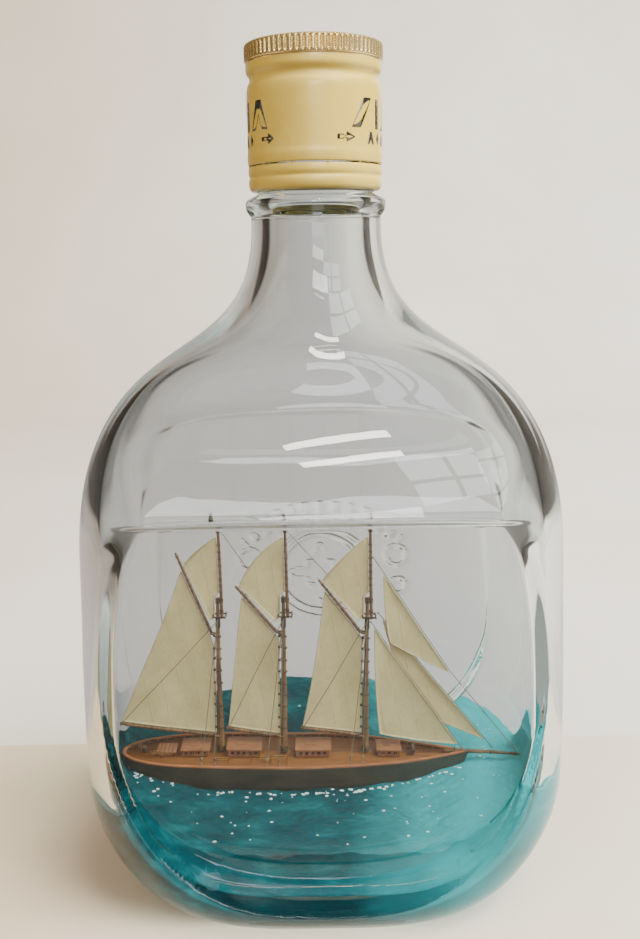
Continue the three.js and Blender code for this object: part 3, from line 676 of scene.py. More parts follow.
def cap():
    band = resampled(rounded_profile([
        (0.3, CAP_TOP - 0.05), (13.6, CAP_TOP), (KNURL_RADIUS, CAP_TOP - 0.1),
        (KNURL_RADIUS, CAP_TOP - 1.6), (KNURL_RADIUS, 191), (KNURL_RADIUS, 190), (CAP_RADIUS, 189.8)]), 0.22)
    band_back = band[::-1] - np.array([[CAP_SHEET * 0.5, CAP_SHEET]]) * (band[::-1, :1] > 1)
    make("cap_gold_band", Shape().grid(turned(np.concatenate([band, band_back]), RIBS * 10, ribs)), GOLD,
         "cap_lacquer", "cap")
    skirt = rounded_profile([
        (CAP_RADIUS - 0.05, 190), (CAP_RADIUS + 0.05, 189), (CAP_RADIUS + 0.05, GROOVE_Z + 1.3),
        (CAP_RADIUS - GROOVE_DEPTH, GROOVE_Z + 0.4), (CAP_RADIUS - GROOVE_DEPTH, GROOVE_Z - 0.5),
        (CAP_RADIUS, GROOVE_Z - 1.9), (CAP_RADIUS, 180), (CAP_RADIUS, 171.3), (CAP_RADIUS + 0.08, 170.6),
        (CAP_RADIUS + 0.16, 169.9), (CAP_RADIUS + 0.1, 168.8), (CAP_RADIUS, SKIRT_END)])
    outer = resampled(skirt, 0.3)
    inner = outer[::-1] - np.array([[CAP_SHEET, 0]])
    ring = turned(np.concatenate([outer, inner]), 256)
    make("cap_skirt", Shape().grid(ring, close_rows=True), CREAM, "cap_lacquer", "cap", ["cap_shell"])


def ring_of(outline, step):
    """A closed outline with extra points along its edges."""
    return resampled([*outline, outline[0]], step)[:-1]


def print_on_cap(shape, turn, z, outline, size):
    """A thin printed mark on the skirt: an outline about its own middle, bent round the cap."""
    radius, thick = CAP_RADIUS + 0.02, 0.03
    flat = ring_of(outline, 0.12) * size
    angle = turn + flat[:, 0] / CAP_RADIUS
    loops = [np.stack([r * np.sin(angle), -r * np.cos(angle), z + flat[:, 1]], -1)
             for r in (radius - thick, radius + thick)]
    shape.grid(np.stack(loops))


ARROW = [(-1, -0.22), (0.1, -0.22), (0.1, -0.62), (1, 0), (0.1, 0.62), (0.1, 0.22), (-1, 0.22)]
DOUBLE_ARROW = [(-1.25, -0.3), (-0.5, -0.3), (-0.5, -0.14), (0, -0.14), (0, -0.62), (1.25, 0), (0, 0.62),
                (0, 0.14), (-0.5, 0.14), (-0.5, 0.3), (-1.25, 0.3)]
LOZENGE = [(0, -1), (0.62, 0), (0, 1), (-0.62, 0)]
BLADE = [(-0.95, -1), (-0.15, -1), (0.95, 1), (0.15, 1)]
BAR = [(-0.24, -1), (0.24, -1), (0.24, 1), (-0.24, 1)]
PEAK = [(-0.95, -1), (-0.4, -1), (0, 0.1), (0.4, -1), (0.95, -1), (0.3, 1), (-0.3, 1)]


def cap_print():
    """A plain ornament round the skirt: tall bars and blades with a row of lozenges and arrows below."""
    marks = Shape()
    big_z, small_z = 178.0, 172.9
    for start in (28, 208):
        tall = (BLADE, BAR, BLADE, BAR, PEAK)
        row = [(15 + 21 * k, big_z, outline, 3.1) for k, outline in enumerate(tall)]
        row.append((-1, small_z, DOUBLE_ARROW, 1.75))
        row += [(26 + 12 * k, small_z, LOZENGE if k % 2 else PEAK, 1.3) for k in range(6)]
        row.append((110, small_z, ARROW, 1.9))
        for turn, z, outline, size in row:
            print_on_cap(marks, math.radians(start) + math.radians(turn), z, outline, size)
    make("cap_print", marks, SILVER, "cap_lacquer", "cap")


def cap_inside():
    loop = ring_of([(14.2, LIP_TOP), (14.2, 188.3), (13.4, 186.9), (13.4, 185.1), (14.2, 183.3),
                    (14.2, 169), (12.9, 169), (12.9, LIP_TOP)], 0.3)

    def grooves(turn, radius, z):
        lap = np.mod(z / THREAD_PITCH - turn / (2 * math.pi), 1) - 0.5
        bore = (radius < 13.0) * smooth(z, 173, 175) * (1 - smooth(z, 186, 188))
        return 0.22 * np.exp(-(lap / 0.16) ** 2) * bore

    make("insert_with_grooves", Shape().grid(turned(loop, 180, grooves), close_rows=True), WHITE_PLASTIC,
         "insert_plastic", "cap", ["thread_insert"])
    film = [(0.2, 190.9), (12.2, 190.9), (12.4, 190.7), (12.2, 190.5), (0.2, 190.5)]
    pad = [(0.2, 192.4), (13.7, 192.4), (14.0, 192.1), (14.0, 191.5), (13.7, 191.2), (0.2, 191.2)]
    for name, outline, material, slot, body, node in (
            ("liner_film_disc", film, FOIL, "liner_foil", "film", "liner_film"),
            ("liner_pad_disc", pad, FOAM, "liner_foam", "pad", "liner_pad")):
        make(name, Shape().grid(turned(resampled(outline, 0.4), 96)), material, slot, body, [node])


def tamper_ring():
    sheet = 0.5
    outside = rounded_profile([
        (CAP_RADIUS - 0.1, 167.6), (CAP_RADIUS, 167.2), (CAP_RADIUS + 0.05, 166.4),
        (CAP_RADIUS - 0.02, 165.9), (CAP_RADIUS - 0.3, 165.3), (CAP_RADIUS - 0.02, 164.8),
        (CAP_RADIUS + 0.02, 163.6), (14.7, 162.4), (13.7, 162.25), (13.3, 162.4)])
    loop = np.concatenate([outside, outside[::-1] - np.array([[sheet * 0.8, -0.1]])])
    loop[:, 0] = np.maximum(loop[:, 0], 13.2)
    shape = Shape().grid(turned(resampled(loop, 0.22), 256), close_rows=True)
    for k in range(12):
        turn = math.radians(30 * k + 11)
        out = CAP_RADIUS - 0.22
        centre = np.array([out * math.sin(turn), -out * math.cos(turn), 167.55])
        lean = 0.22 * (-1) ** k
        torn_end = centre + (lean * math.cos(turn), lean * math.sin(turn), 0.42)
        shape.tube([centre, torn_end], [0.26, 0.13], 8)
    make("tamper_ring_drawn", shape, CREAM, "cap_lacquer", "ring", ["tamper_ring"])


cap()
cap_print()
cap_inside()
tamper_ring()


# ---- sea ------------------------------------------------------------------------------------
def sea_height(x, y):
    """The putty's top: higher to the left and behind, with a bank along the back and small waves."""
    slope = np.where(y < 0, 0.12, 0.05) * y - 0.06 * x * smooth(y, 0, 30)
    spread = np.abs(x - 6) / np.where(x > 6, 26, 34)
    bank = 10 * np.exp(-spread ** 3) * smooth(y, 8, 31)
    ends = 3.2 * smooth(-x, 22, 50) + 1.5 * smooth(x, 20, 38)
    ripple = 0.35 * np.sin(0.42 * x + 0.2 * y) * np.cos(0.37 * y - 0.11 * x)
    return SEA_LEVEL + slope + bank + ends + ripple


def sea_detail(x, y):
    """Small steep waves and the marks of the tool that pressed the putty in."""
    chop = 0.22 * (1 - np.abs(sine_noise(x * 0.7, y * 1.3, 3, 7.5)) * 1.6)
    return chop + 0.12 * sine_noise(x, y * 1.4, 8, 2.6) + 0.06 * sine_noise(x, y, 9, 1.1)


def sea_creep(x, y, z):
    """How far a thin smear of putty climbs the glass in front: to the panel's foot, less at the ends."""
    share = np.clip(np.abs(x) / PANEL_HALF_WIDTH, 0, 1)
    foot = PANEL_WIDEST - (PANEL_WIDEST - PANEL_BOTTOM) * (1 - share ** PANEL_POWER) ** (1 / PANEL_POWER)
    smear = np.minimum(foot, mix(28, 32, x > 0)) + 1.2 * sine_noise(x, y, 4, 9)
    return np.maximum(smear - z, 0) * (1 - smooth(y, 2, 16))


def sea():
    clearance = -0.04    # the putty wets the glass, so no air shows between them
    heel = 1.7           # how much nearer the outside it lies in the heel, where the glass is thin
    turn = np.linspace(0, 2 * math.pi, 380, endpoint=False)[None, :]
    edge_x, edge_y = inside_point(turn, np.array([[SEA_LEVEL]]), clearance)
    edge_z = sea_height(edge_x, edge_y)
    for _ in range(3):
        edge_x, edge_y = inside_point(turn, edge_z, clearance)
        edge_z = sea_height(edge_x, edge_y) + sea_detail(edge_x, edge_y)
    share = 1 - (1 - 0.012) * np.linspace(1, 0, 200)[:, None] ** 1.3
    x, y = edge_x * share, edge_y * share
    creep = sea_creep(edge_x, edge_y, edge_z)
    z = sea_height(x, y) + sea_detail(x, y) + creep * np.exp((share - 1) * 55 / 0.45)
    x, y = inside_point(turn, z, clearance)
    top = np.stack([x * share, y * share, z], -1)
    edge_z = z[-1:]
    drop = 1 - np.linspace(0, 1, 46)[1:, None] ** 1.3
    floor_z = FLOOR + clearance + 0.1
    z = mix(floor_z, edge_z, drop)
    x, y = inside_point(turn, z, clearance)
    low = heel * smooth(beyond_foot(x, z), -2, 3)
    around = np.hypot(x, y)
    wider = 1 + low / around
    side = np.stack([x * wider, y * wider, z - low * smooth(-z, -14, -FLOOR)], -1)
    inwards = np.linspace(1, 0.03, 12)[1:, None, None]
    bottom = side[-1:] * np.concatenate([inwards, inwards, np.ones_like(inwards)], -1)
    points = np.concatenate([top, side, bottom])
    make("sea_surface", Shape().grid(points, flip=True), SEA, "sea_putty", replaces=["sea"])


def half_beam(x, inset=0.0):
    """Half the hull's width at deck level."""
    ahead = x > WIDEST_X
    end = np.where(ahead, BOW_X - 2.2 * inset, STERN_X + inset)
    share = np.clip(np.abs((x - WIDEST_X) / (end - WIDEST_X)), 0, 1)
    fullness = np.where(ahead, (1 - share ** 2.1) ** 0.95, np.sqrt(1 - share ** 3.6))
    return fullness * (HALF_BEAM - inset)


def foam_lumps():
    """White crests along the waterline and scattered over the sea."""
    rng = np.random.default_rng(21)
    along_hull, scattered = 110, 130
    places = []
    for _ in range(along_hull):
        x = rng.uniform(STERN_X + 3, BOW_X - 2)
        side = -1 if rng.random() < 0.7 else 1
        places.append((x, side * (half_beam(x) * 0.95 + 0.5 + rng.exponential(0.8)), 1.0))
    for _ in range(scattered):
        places.append((rng.uniform(-46, 46), rng.uniform(-29, 24), 0.7))
    shape = Shape()
    for x, y, size in places:
        under_hull = abs(y) < half_beam(np.array(x)) * 0.93
        off_sea = (abs(x) / 50) ** 3.5 + (abs(y) / 31) ** 3.5 > 0.93
        if under_hull or off_sea:
            continue
        lump = size * rng.uniform(0.12, 0.42)
        z = sea_height(np.array(x), np.array(y)) + sea_detail(x, y) + lump * 0.15
        spread = [lump * rng.uniform(low, high) for low, high in ((0.9, 1.9), (0.6, 1.1), (0.5, 0.9))]
        shape.blob((x, y, z), spread, 7, 5)
    make("sea_crests", shape, FOAM_WHITE, "sea_putty")


sea()
foam_lumps()


# ---- hull and deck --------------------------------------------------------------------------
def outline(inset=0.0, count=90):
    """The deck's edge seen from above, from the stern along the right side and back along the left."""
    sweep = np.linspace(0, math.pi, count)
    x = mix(STERN_X + inset, BOW_X - 2.2 * inset, (1 - np.cos(sweep)) / 2)
    beam = half_beam(x, inset)
    left = np.stack([x[::-1], beam[::-1]], -1)[1:-1]
    return np.concatenate([np.stack([x, -beam], -1), left])


def lifted(edge, z):
    """A flat outline at height z."""
    return np.concatenate([edge, np.full((len(edge), 1), z)], -1)


def hull():
    """Level lines from keel to deck, faired between, with a bulwark that turns in to the deck."""
    edge = outline()
    x, y = edge[:, 0], edge[:, 1]
    rake = np.where(x < WIDEST_X, 0.3 * (1 - np.abs(y) / HALF_BEAM), 0)
    levels = [(mix(x, WIDEST_X, 0.16 + rake), 0.5 * y, KEEL_Z + 0 * x),
              (mix(x, WIDEST_X, 0.04), 0.94 * y, SEA_LEVEL - 1 + 0 * x),
              (x, y, DECK_Z - 0.9), (x, y, DECK_Z + 0.55)]
    loops = np.stack([np.stack(np.broadcast_arrays(*level), -1) for level in levels])
    at = np.linspace(0, 3, 22)
    fair = np.stack([np.stack([np.interp(at, range(4), loops[:, k, c]) for k in range(len(edge))], 1)
                     for c in range(3)], -1)
    for _ in range(6):
        fair[1:-1] = (fair[:-2] + 2 * fair[1:-1] + fair[2:]) / 4
    inner = lifted(outline(RAIL_WIDTH), DECK_Z - 0.1)[None]
    points = np.concatenate([fair, inner + (0, 0, 0.65), inner])
    fit("hull_planked", Shape().grid(points), HULL_BLACK, "hull_paint", "hull")


def deck_and_rail():
    plate = outline(RAIL_WIDTH + 0.15)
    loops = np.stack([lifted(plate, z) for z in (DECK_Z - 0.4, DECK_Z + 0.2)])
    fit("deck_planks", Shape().grid(loops), DECK_BOARDS, "deck_wood", "deck")
    section = [(-0.14, 0.62), (-0.14, 0.9), (0.02, 1.02), (0.66, 1.02), (0.82, 0.9), (0.82, 0.62)]
    loops = np.stack([lifted(outline(inset), DECK_Z + rise) for inset, rise in section])
    rail = Shape().grid(loops, close_rows=True)
    for x in np.arange(STERN_X + 4, BOW_X - 4, 2.1):
        for side in (-1, 1):
            y = side * (half_beam(x, RAIL_WIDTH) - 0.12)
            rail.block((x, y, DECK_Z + 0.1), (0.26, 0.26, 0.6))
    fit("rail_cap", rail, RAIL_BROWN, "rail_wood", "bulwark", bevel=0.05, flat=True)


def bowsprit():
    line = [(30.5, 0, 23.95), (34, 0, 23.75), (42, 0, 23.3), (50, 0, 22.6)]
    sprit = Shape().tube(line, [0.6, 0.58, 0.46, 0.3], 18)
    sprit.blob(line[-1], (0.34, 0.34, 0.34))
    fit("bowsprit_spar", sprit, SPAR_BROWN, "spar_wood", "bowsprit")
    bands = Shape()
    for x, radius in ((33.2, 0.66), (36.6, 0.62), (42.6, 0.52), (48.8, 0.4), (49.3, 0.42)):
        bands.hoop((x, 0, mix(24.0, 22.6, (x - 30.5) / 19.5)), (1, 0, -0.06), radius, 0.12)
    fit("bowsprit_lashings", bands, LASHING, "spar_wood")


HOUSES = {    # where the middle is, then length, width and height
    "aft_cabin": (-33.0, 6.6, 5.6, 1.6),
    "mid_deckhouse": (-20.6, 8.6, 6.0, 1.9),
    "main_deckhouse": (-3.0, 8.4, 6.0, 1.8),
    "fore_cabin": (16.4, 5.8, 4.8, 1.6),
}


def deckhouses():
    """Walls with posts, a roof with a skylight, panes along the sides and a door aft."""
    foot = DECK_TOP
    for name, (x, length, width, height) in HOUSES.items():
        walls, panes = Shape().block((x, 0, foot), (length, width, height)), Shape()
        count = max(int(length / 1.5), 2)
        for side in (-1, 1):
            post_y, pane_y, sill = side * (width / 2 + 0.02), side * (width / 2 + 0.03), foot + height * 0.38
            for post in np.linspace(-0.5, 0.5, 6):
                walls.block((x + post * (length - 0.3), post_y, foot), (0.3, 0.16, height))
            for step in range(count):
                pane_x = x + (step - (count - 1) / 2) * (length - 1) / count
                panes.block((pane_x, pane_y, sill), (0.72, 0.1, height * 0.36))
        panes.block((x - length / 2 - 0.03, 0.6, foot + 0.1), (0.1, 0.9, height * 0.75))
        top = Shape().block((x, 0, foot + height), (length + 0.8, width + 0.8, 0.4), 0.12)
        top.block((x - 0.5, 0, foot + height + 0.4), (length * 0.36, width * 0.3, 0.22), 0.05)
        fit(name + "_walls", walls, HOUSE_BROWN, "house_wood", name, bevel=0.06, flat=True)
        fit(name + "_top", top, ROOF_BROWN, "house_wood", bevel=0.08, flat=True)
        fit(name + "_panes", panes, WINDOW_DARK, "house_wood", bevel=0.03, flat=True)


def hatch():
    coaming, lid = Shape().block((-40.2, 0, DECK_TOP), (3.6, 4.6, 0.8)), Shape()
    fit("hatch_coaming", coaming, HOUSE_BROWN, "house_wood", "cargo_hatch", bevel=0.08, flat=True)
    for board in range(5):
        lid.block((-42.2 + board, 0, DECK_TOP + 0.8), (0.94, 5.0, 0.3), 0.04)
    fit("hatch_lid", lid, ROOF_BROWN, "house_wood", bevel=0.05, flat=True)


def windlass():
    x, axle = 22.6, DECK_TOP + 1.2
    barrels = [(-1.9, 0.55), (-1.5, 0.4), (-1.2, 0.6), (1.2, 0.6), (1.5, 0.4), (1.9, 0.55)]
    frame_shape = Shape().tube([(x, y, axle) for y, _ in barrels], [radius for _, radius in barrels], 16)
    for y in (-1.35, 1.35):
        frame_shape.block((x, y, DECK_TOP), (0.7, 0.4, 2.0), 0.06)
        frame_shape.block((x - 0.9, y, DECK_TOP), (1.4, 0.3, 0.5), 0.05)
    fit("windlass_frame", frame_shape, FITTING_BROWN, "fitting_wood", "windlass", bevel=0.05)


def helm():
    """The steering wheel with eight spokes on its box."""
    shape = Shape().block((-46, 0, DECK_TOP), (1.2, 1.1, 1.6), 0.12)
    hub = np.array([-47.1, 0, DECK_TOP + 1.4])
    shape.tube([hub + (-0.3, 0, 0), hub + (0.9, 0, 0)], 0.22, 12)
    shape.hoop(hub, (1, 0, 0), 0.95, 0.13, 28)
    for spoke in range(8):
        turn = spoke * math.pi / 4
        away = np.array([0, math.cos(turn), math.sin(turn)])
        shape.tube([hub + away * 0.15, hub + away * 1.28], [0.09, 0.07], 8)
    fit("helm_and_wheel", shape, FITTING_BROWN, "fitting_wood", "helm")


WIRE_RAILS = (    # the near aft corner, then length, depth and height
    (-18.6, -6.7, 5.0, 1.3, 1.5),
    (-13.6, -6.6, 4.2, 1.2, 1.7),
    (-27.8, -6.2, 3.4, 1.0, 0.9),
    (-44.0, -3.4, 3.0, 1.4, 1.2),
)


def wire_rails():
    wire, thickness = Shape(), 0.1
    for x, y, length, depth, height in WIRE_RAILS:
        low, high = DECK_TOP, DECK_TOP + height
        for side in (y, y + depth):
            path = [(x, side, low), (x, side, high), (x + length, side, high), (x + length, side, low)]
            wire.tube(resampled(path, 0.5), thickness, 8)
        for end in (x, x + length):
            wire.tube([(end, y, high), (end, y + depth, high)], thickness, 8)
    fit("wire_rails", wire, BRASS, "fitting_wood")


hull()
deck_and_rail()
bowsprit()
deckhouses()
hatch()
windlass()
helm()
wire_rails()


# ---- masts and spars ------------------------------------------------------------------------
def beside(start, end, share, shift):
    """A point at a share of the way from start to end, moved sideways: down, for a line running aft."""
    (x0, z0), (x1, z1) = start, end
    dx, dz = x1 - x0, z1 - z0
    length = math.hypot(dx, dz)
    return np.array([x0 + dx * share + shift * dz / length, z0 + dz * share - shift * dx / length])


def straight(start, end, share):
    """A point, or a row of them, on the ship's middle plane at a share of the way from start to end."""
    return np.stack([mix(start[0], end[0], share), 0 * share, mix(start[1], end[1], share)], -1)


def topmast_ahead(z):
    return TOP_AHEAD - TOP_RAKE * (z - TOP_BOTTOM) / (TOP_END - TOP_BOTTOM)


def mast_radius(z):
    return mix(MAST_FOOT, MAST_HEAD, np.clip((z - DECK_TOP) / (MAST_TOP - DECK_TOP), 0, 1))


def mast_pole(name, x, throat, tack):
    z = np.linspace(DECK_TOP + 0.1, MAST_TOP, 40)
    pole = Shape().tube(np.stack([0 * z + x, 0 * z, z], -1), mast_radius(z), 20)
    fit(name + "_pole", pole, SPAR_BROWN, "spar_wood", name + "_mast")

    rng = np.random.default_rng(len(name))
    dark = Shape()
    for start, end, step in ((DECK_TOP + 0.5, DECK_TOP + 1.6, 0.25), (57.0, 60, 0.3), (63.6, 65, 0.25)):
        for z in np.arange(start, end, step):
            dark.hoop((x, 0, z), (0, 0, 1), mast_radius(z) + 0.05, 0.14, 20)
    for z in np.arange(tack + 2.2, throat - 0.6, 3.05):    # the sail's hoops and their knots
        z = z + rng.uniform(-0.2, 0.2)
        reach = mast_radius(z) + 0.22
        dark.hoop((x - 0.18, 0, z), (0.12, 0, 1), reach, 0.13, 20)
        dark.blob((x - reach - 0.28, rng.uniform(-0.1, 0.1), z), (0.36, 0.34, 0.42), 9, 6)
        dark.blob((x + reach - 0.1, rng.uniform(-0.3, 0.3), z - 0.15), (0.2, 0.34, 0.26), 8, 5)
    for y in (-1.55, 1.55):    # coils of rope beside the foot
        for lay in (0, 0.5, 1.0):
            dark.hoop((x, y, DECK_TOP + 1.6 - 0.25 * lay), (0, 0, 1), 0.34, 0.09, 14)
            dark.hoop((x - 0.1, y, DECK_TOP + 1.45 - 0.3 * lay), (0.2, 0, 1), 0.4, 0.08, 14)
    fit(name + "_lashings", dark, LASHING, "spar_wood")


def spar(name, kind, line, radii, knob, mast_x, jaw_rises, jaw_spread):
    """A gaff or boom with a knob at its end and wooden jaws that hold the mast."""
    share = np.linspace(0, 1, 14)
    shape = Shape().tube(straight(*line, share), radii(share), 16)
    shape.blob(straight(*line, 1.0), (knob, knob, knob))
    (start_x, start_z), _ = line
    for y in (-0.62, 0.62):
        places = ((start_x - 0.4, y * 0.4), (start_x + 0.6, y), (mast_x - 0.2, y * jaw_spread))
        shape.tube([(px, py, start_z + rise) for (px, py), rise in zip(places, jaw_rises)],
                   [0.3, 0.26, 0.18], 10)
    fit(f"{name}_{kind}_spar", shape, SPAR_BROWN, "spar_wood", f"{name}_{kind}")


def gaff_radius(share):
    return GAFF_RADIUS - 0.12 * share ** 3


def boom_radius(share):
    return BOOM_RADIUS * (0.86 + 0.14 * np.sin(math.pi * share))


def mast(name, x, peak, throat, boom_end, tack):
    mast_pole(name, x, throat, tack)
    luff = x - 1.15
    gaff, boom = ((luff - 0.5, throat), peak), ((luff - 0.5, tack), boom_end)
    spar(name, "gaff", gaff, gaff_radius, 0.34, x, (0.25, -0.1, -0.2), 1.25)
    spar(name, "boom", boom, boom_radius, 0.42, x, (0.05, -0.02, -0.05), 1.3)
    robands = Shape()
    for (first, last), radius in ((gaff, GAFF_RADIUS), (boom, BOOM_RADIUS)):
        run, rise = last[0] - first[0], last[1] - first[1]
        for share in np.arange(0.06, 0.99, 1.6 / math.hypot(run, rise)):
            robands.hoop(straight(first, last, share), (run, 0, rise), radius + 0.03, 0.09, 16)
    fit(name + "_robands", robands, LASHING, "spar_wood")


def topmast(name, x):
    z = np.linspace(TOP_BOTTOM, TOP_END, 30)
    radius = mix(TOP_HEEL, TOP_HEAD, (z - TOP_BOTTOM) / (TOP_END - TOP_BOTTOM)) + 0.1
    pole = Shape().tube(np.stack([x + topmast_ahead(z), 0 * z, z], -1), radius, 14)
    fit(name + "_top_pole", pole, SPAR_BROWN, "spar_wood", name + "_topmast")

    low, high = 82.2, 83.4
    z = np.linspace(low, high, 8)
    swell = 0.62 - 0.12 * (z - low) / 1.2 - 0.25 * np.abs(np.linspace(-1, 1, 8)) ** 6
    block = Shape().tube(np.stack([x + topmast_ahead(z), 0 * z, z], -1), swell, 16)
    block.blob((x + topmast_ahead(TOP_END), 0, TOP_END), (0.34, 0.34, 0.34))
    for z in (61.2, 61.6, 63.9, 64.4, *np.arange(66.5, 80.5, 1.75)):
        block.hoop((x + topmast_ahead(z) - 0.04, 0, z), (0.1, 0, 1), 0.45, 0.12, 14)
    fit(name + "_truck_block", block, LASHING, "spar_wood")

    cross = Shape()
    for y in (-1.35, 1.35):
        cross.block((x + 0.475, y, HOUNDS_Z - 0.2), (3.4, 0.3, 0.36))
    for ahead in (-1.15, 2.1):
        bar = [(x + ahead, -2.4, HOUNDS_Z), (x + ahead, 0, HOUNDS_Z + 0.05), (x + ahead, 2.4, HOUNDS_Z)]
        cross.tube(bar, [0.13, 0.22, 0.13], 10)
    cross.block((x + 0.5, 0, 64.3), (1.9, 0.8, 0.4), 0.05)
    fit(name + "_cross_frame", cross, LASHING, "spar_wood", name + "_crosstrees", bevel=0.06)


for mast_name, spec in MASTS.items():
    mast(mast_name, spec["x"], spec["peak"], spec["throat"], spec["boom_end"], spec["tack"])
    topmast(mast_name, spec["x"])


# ---- sails ----------------------------------------------------------------------------------
SAIL_THICK = 0.26


def curved_edge(start, end, bulge, count):
    """Points from start to end that bow sideways by bulge at the middle."""
    start, end = np.asarray(start, float), np.asarray(end, float)
    at = np.linspace(0, 1, count)[:, None]
    along = (end - start) / np.linalg.norm(end - start)
    aside = np.array([along[1], -along[0]])
    return mix(start, end, at) + aside * bulge * 4 * at * (1 - at)


def patch(foot, leech, head, luff):
    """A sheet of points filling four edges; foot and head run fore to aft, luff and leech run up."""
    rows, cols = len(luff), len(foot)
    v = np.linspace(0, 1, rows)[:, None, None]
    u = np.linspace(0, 1, cols)[None, :, None]
    ruled = mix(foot[None], head[None], v) + mix(luff[:, None], leech[:, None], u)
    corners = mix(mix(foot[0], foot[-1], u), mix(head[0], head[-1], u), v)
    return ruled - corners


def bellied(flat, seed, belly, y, twist):
    """The cloth's middle sheet: a flat sail pushed out sideways, creased away from its held edges."""
    rows, cols = flat.shape[:2]
    v = np.linspace(0, 1, rows)[:, None]
    u = np.linspace(0, 1, cols)[None, :]
    x, z = flat[..., 0], flat[..., 1]
    pull = np.sin(math.pi * u ** 0.75) * np.sin(math.pi * np.clip(v * 0.86 + 0.1, 0, 1))
    creases = 0.07 * sine_noise(x + 0.35 * z, z * 0.3, seed, 7) + 0.05 * sine_noise(x, z, 4, 14)
    from_edge = np.minimum(np.minimum(u, 1 - u), np.minimum(v, 1 - v))
    out = y + belly * pull + twist * u * v + creases * smooth(from_edge, 0.0, 0.12)
    return np.stack([x, out, z], -1)


def rim_of(rows, cols):
    """The row and column of every point round the edge of a sheet."""
    out = [(0, c) for c in range(cols)] + [(r, cols - 1) for r in range(1, rows)]
    back = [(rows - 1, c) for c in range(cols - 2, -1, -1)] + [(r, 0) for r in range(rows - 2, 0, -1)]
    return np.array(out + back).T


def thickened(points, rim):
    """A closed thin cloth on both sides of a sheet of points."""
    rows, cols = points.shape[:2]
    across_u, across_v = np.gradient(points, axis=1), np.gradient(points, axis=0)
    normal = np.cross(across_u, across_v)
    normal /= np.linalg.norm(normal, axis=-1, keepdims=True)
    if normal[rows // 2, cols // 2, 1] > 0:
        normal = -normal
    flip = np.cross(across_u[2, 2], across_v[2, 2])[1] > 0
    shape = Shape()
    shape.grid(points + normal * SAIL_THICK / 2, close_cols=False, cap=False, flip=flip)
    shape.grid(points - normal * SAIL_THICK / 2, close_cols=False, cap=False, flip=not flip)
    near = rim[0] * cols + rim[1]
    after, to_far = np.roll(near, -1), rows * cols
    edge = np.stack([near, after, after + to_far, near + to_far], -1)
    shape.faces.append(edge[:, ::-1] if flip else edge)
    return shape


def sail(name, edges, belly, y=0.0, twist=0.0):
    """A thin closed cloth, bellied to one side, with bolt ropes along its edges."""
    flat = patch(*edges)
    points = bellied(flat, len(name), belly, y, twist)
    rim = rim_of(*flat.shape[:2])
    slant = np.stack([flat[..., 0] + 0.18 * flat[..., 1], flat[..., 1]], -1).reshape(-1, 2)
    cloth = fit(name + "_cloth", thickened(points, rim), CLOTH, "sailcloth", name,
                uv=np.concatenate([slant, slant]))
    edge = Shape().tube(points[tuple(rim)], 0.15, 8, closed=True)
    ropes = fit(name + "_bolt_rope", edge, BOLT_ROPE, "sailcloth")


def gaff_sail(name, spec):
    luff_x = spec["x"] - MAST_FOOT - GAP
    gaff = (luff_x - 0.5, spec["throat"]), spec["peak"]
    boom = (luff_x - 0.5, spec["tack"]), spec["boom_end"]
    away = GAFF_RADIUS + GAP
    (throat_x, throat_z), (peak_x, peak_z) = gaff
    head_aft, head_line = beside(*gaff, 0.8, -away), beside(*gaff, 0, -away)
    slope = (peak_z - throat_z) / (peak_x - throat_x)
    head_fore = np.array([luff_x, head_line[1] + (luff_x - head_line[0]) * slope])
    clew = beside(*boom, 0.985, away)
    foot_fore = np.array([luff_x, beside(*boom, 0.02, away)[1]])
    rows, cols = 60, 36
    foot = curved_edge(foot_fore, clew, -0.15, cols)
    head = curved_edge(head_fore, head_aft, 0.0, cols)
    luff = curved_edge(foot_fore, head_fore, 0.0, rows)
    leech = curved_edge(clew, head_aft, 0.35 if name == "mizzen" else 0.25, rows)
    sail(name + "_sail", (foot, leech, head, luff), 0.55, twist=0.25)


def gaff_topsail(name, spec):
    """The small sail between the gaff and the topmast; its luff steps ahead where the mast ends."""
    x = spec["x"]
    gaff = (x - MAST_FOOT - GAP - 0.5, spec["throat"]), spec["peak"]
    away, top_z = GAFF_RADIUS + GAP, 80.6
    low_aft, low_fore = beside(*gaff, spec["topsail_foot"], away), beside(*gaff, 0.12, away)
    beside_mast = x - MAST_HEAD - GAP - 0.2
    start_x, start_z = min(low_fore[0], beside_mast), low_fore[1] + 1
    rows, cols = 44, 16
    rise = np.linspace(start_z, top_z, rows)
    beside_topmast = x + topmast_ahead(rise) - TOP_HEEL - GAP
    reach = mix(start_x, beside_mast, smooth(rise, start_z, start_z + 1))
    luff = np.stack([mix(reach, beside_topmast, smooth(rise, 65.0, 66.6)), rise], -1)
    head_point = luff[-1] + (-0.25, 0)
    foot = curved_edge(luff[0], low_aft, 0.0, cols)
    leech = curved_edge(low_aft, head_point, -spec["roach"], rows)
    head = curved_edge(luff[-1], head_point, 0.0, cols)
    sail(name + "_topsail", (foot, leech, head, luff), 0.35)


def head_sail(name, stay, start_share, end_share, clew, y, belly):
    """A three-cornered sail that hangs from a stay, with its clew aft."""
    away = 0.38 if name == "flying_jib" else LINE / 2 + 0.25
    peak, tack, clew = beside(*stay, start_share, away), beside(*stay, end_share, away), np.array(clew)
    peak_aft = peak + (clew - peak) * 0.012
    rows, cols = 50, 24
    luff = curved_edge(tack, peak, 0.0, rows)
    leech = curved_edge(clew, peak_aft, -0.35, rows)
    foot = curved_edge(tack, clew, -0.3, cols)
    head = curved_edge(peak, peak_aft, 0.0, cols)
    sail(name, (foot, leech, head, luff), belly, y=y)


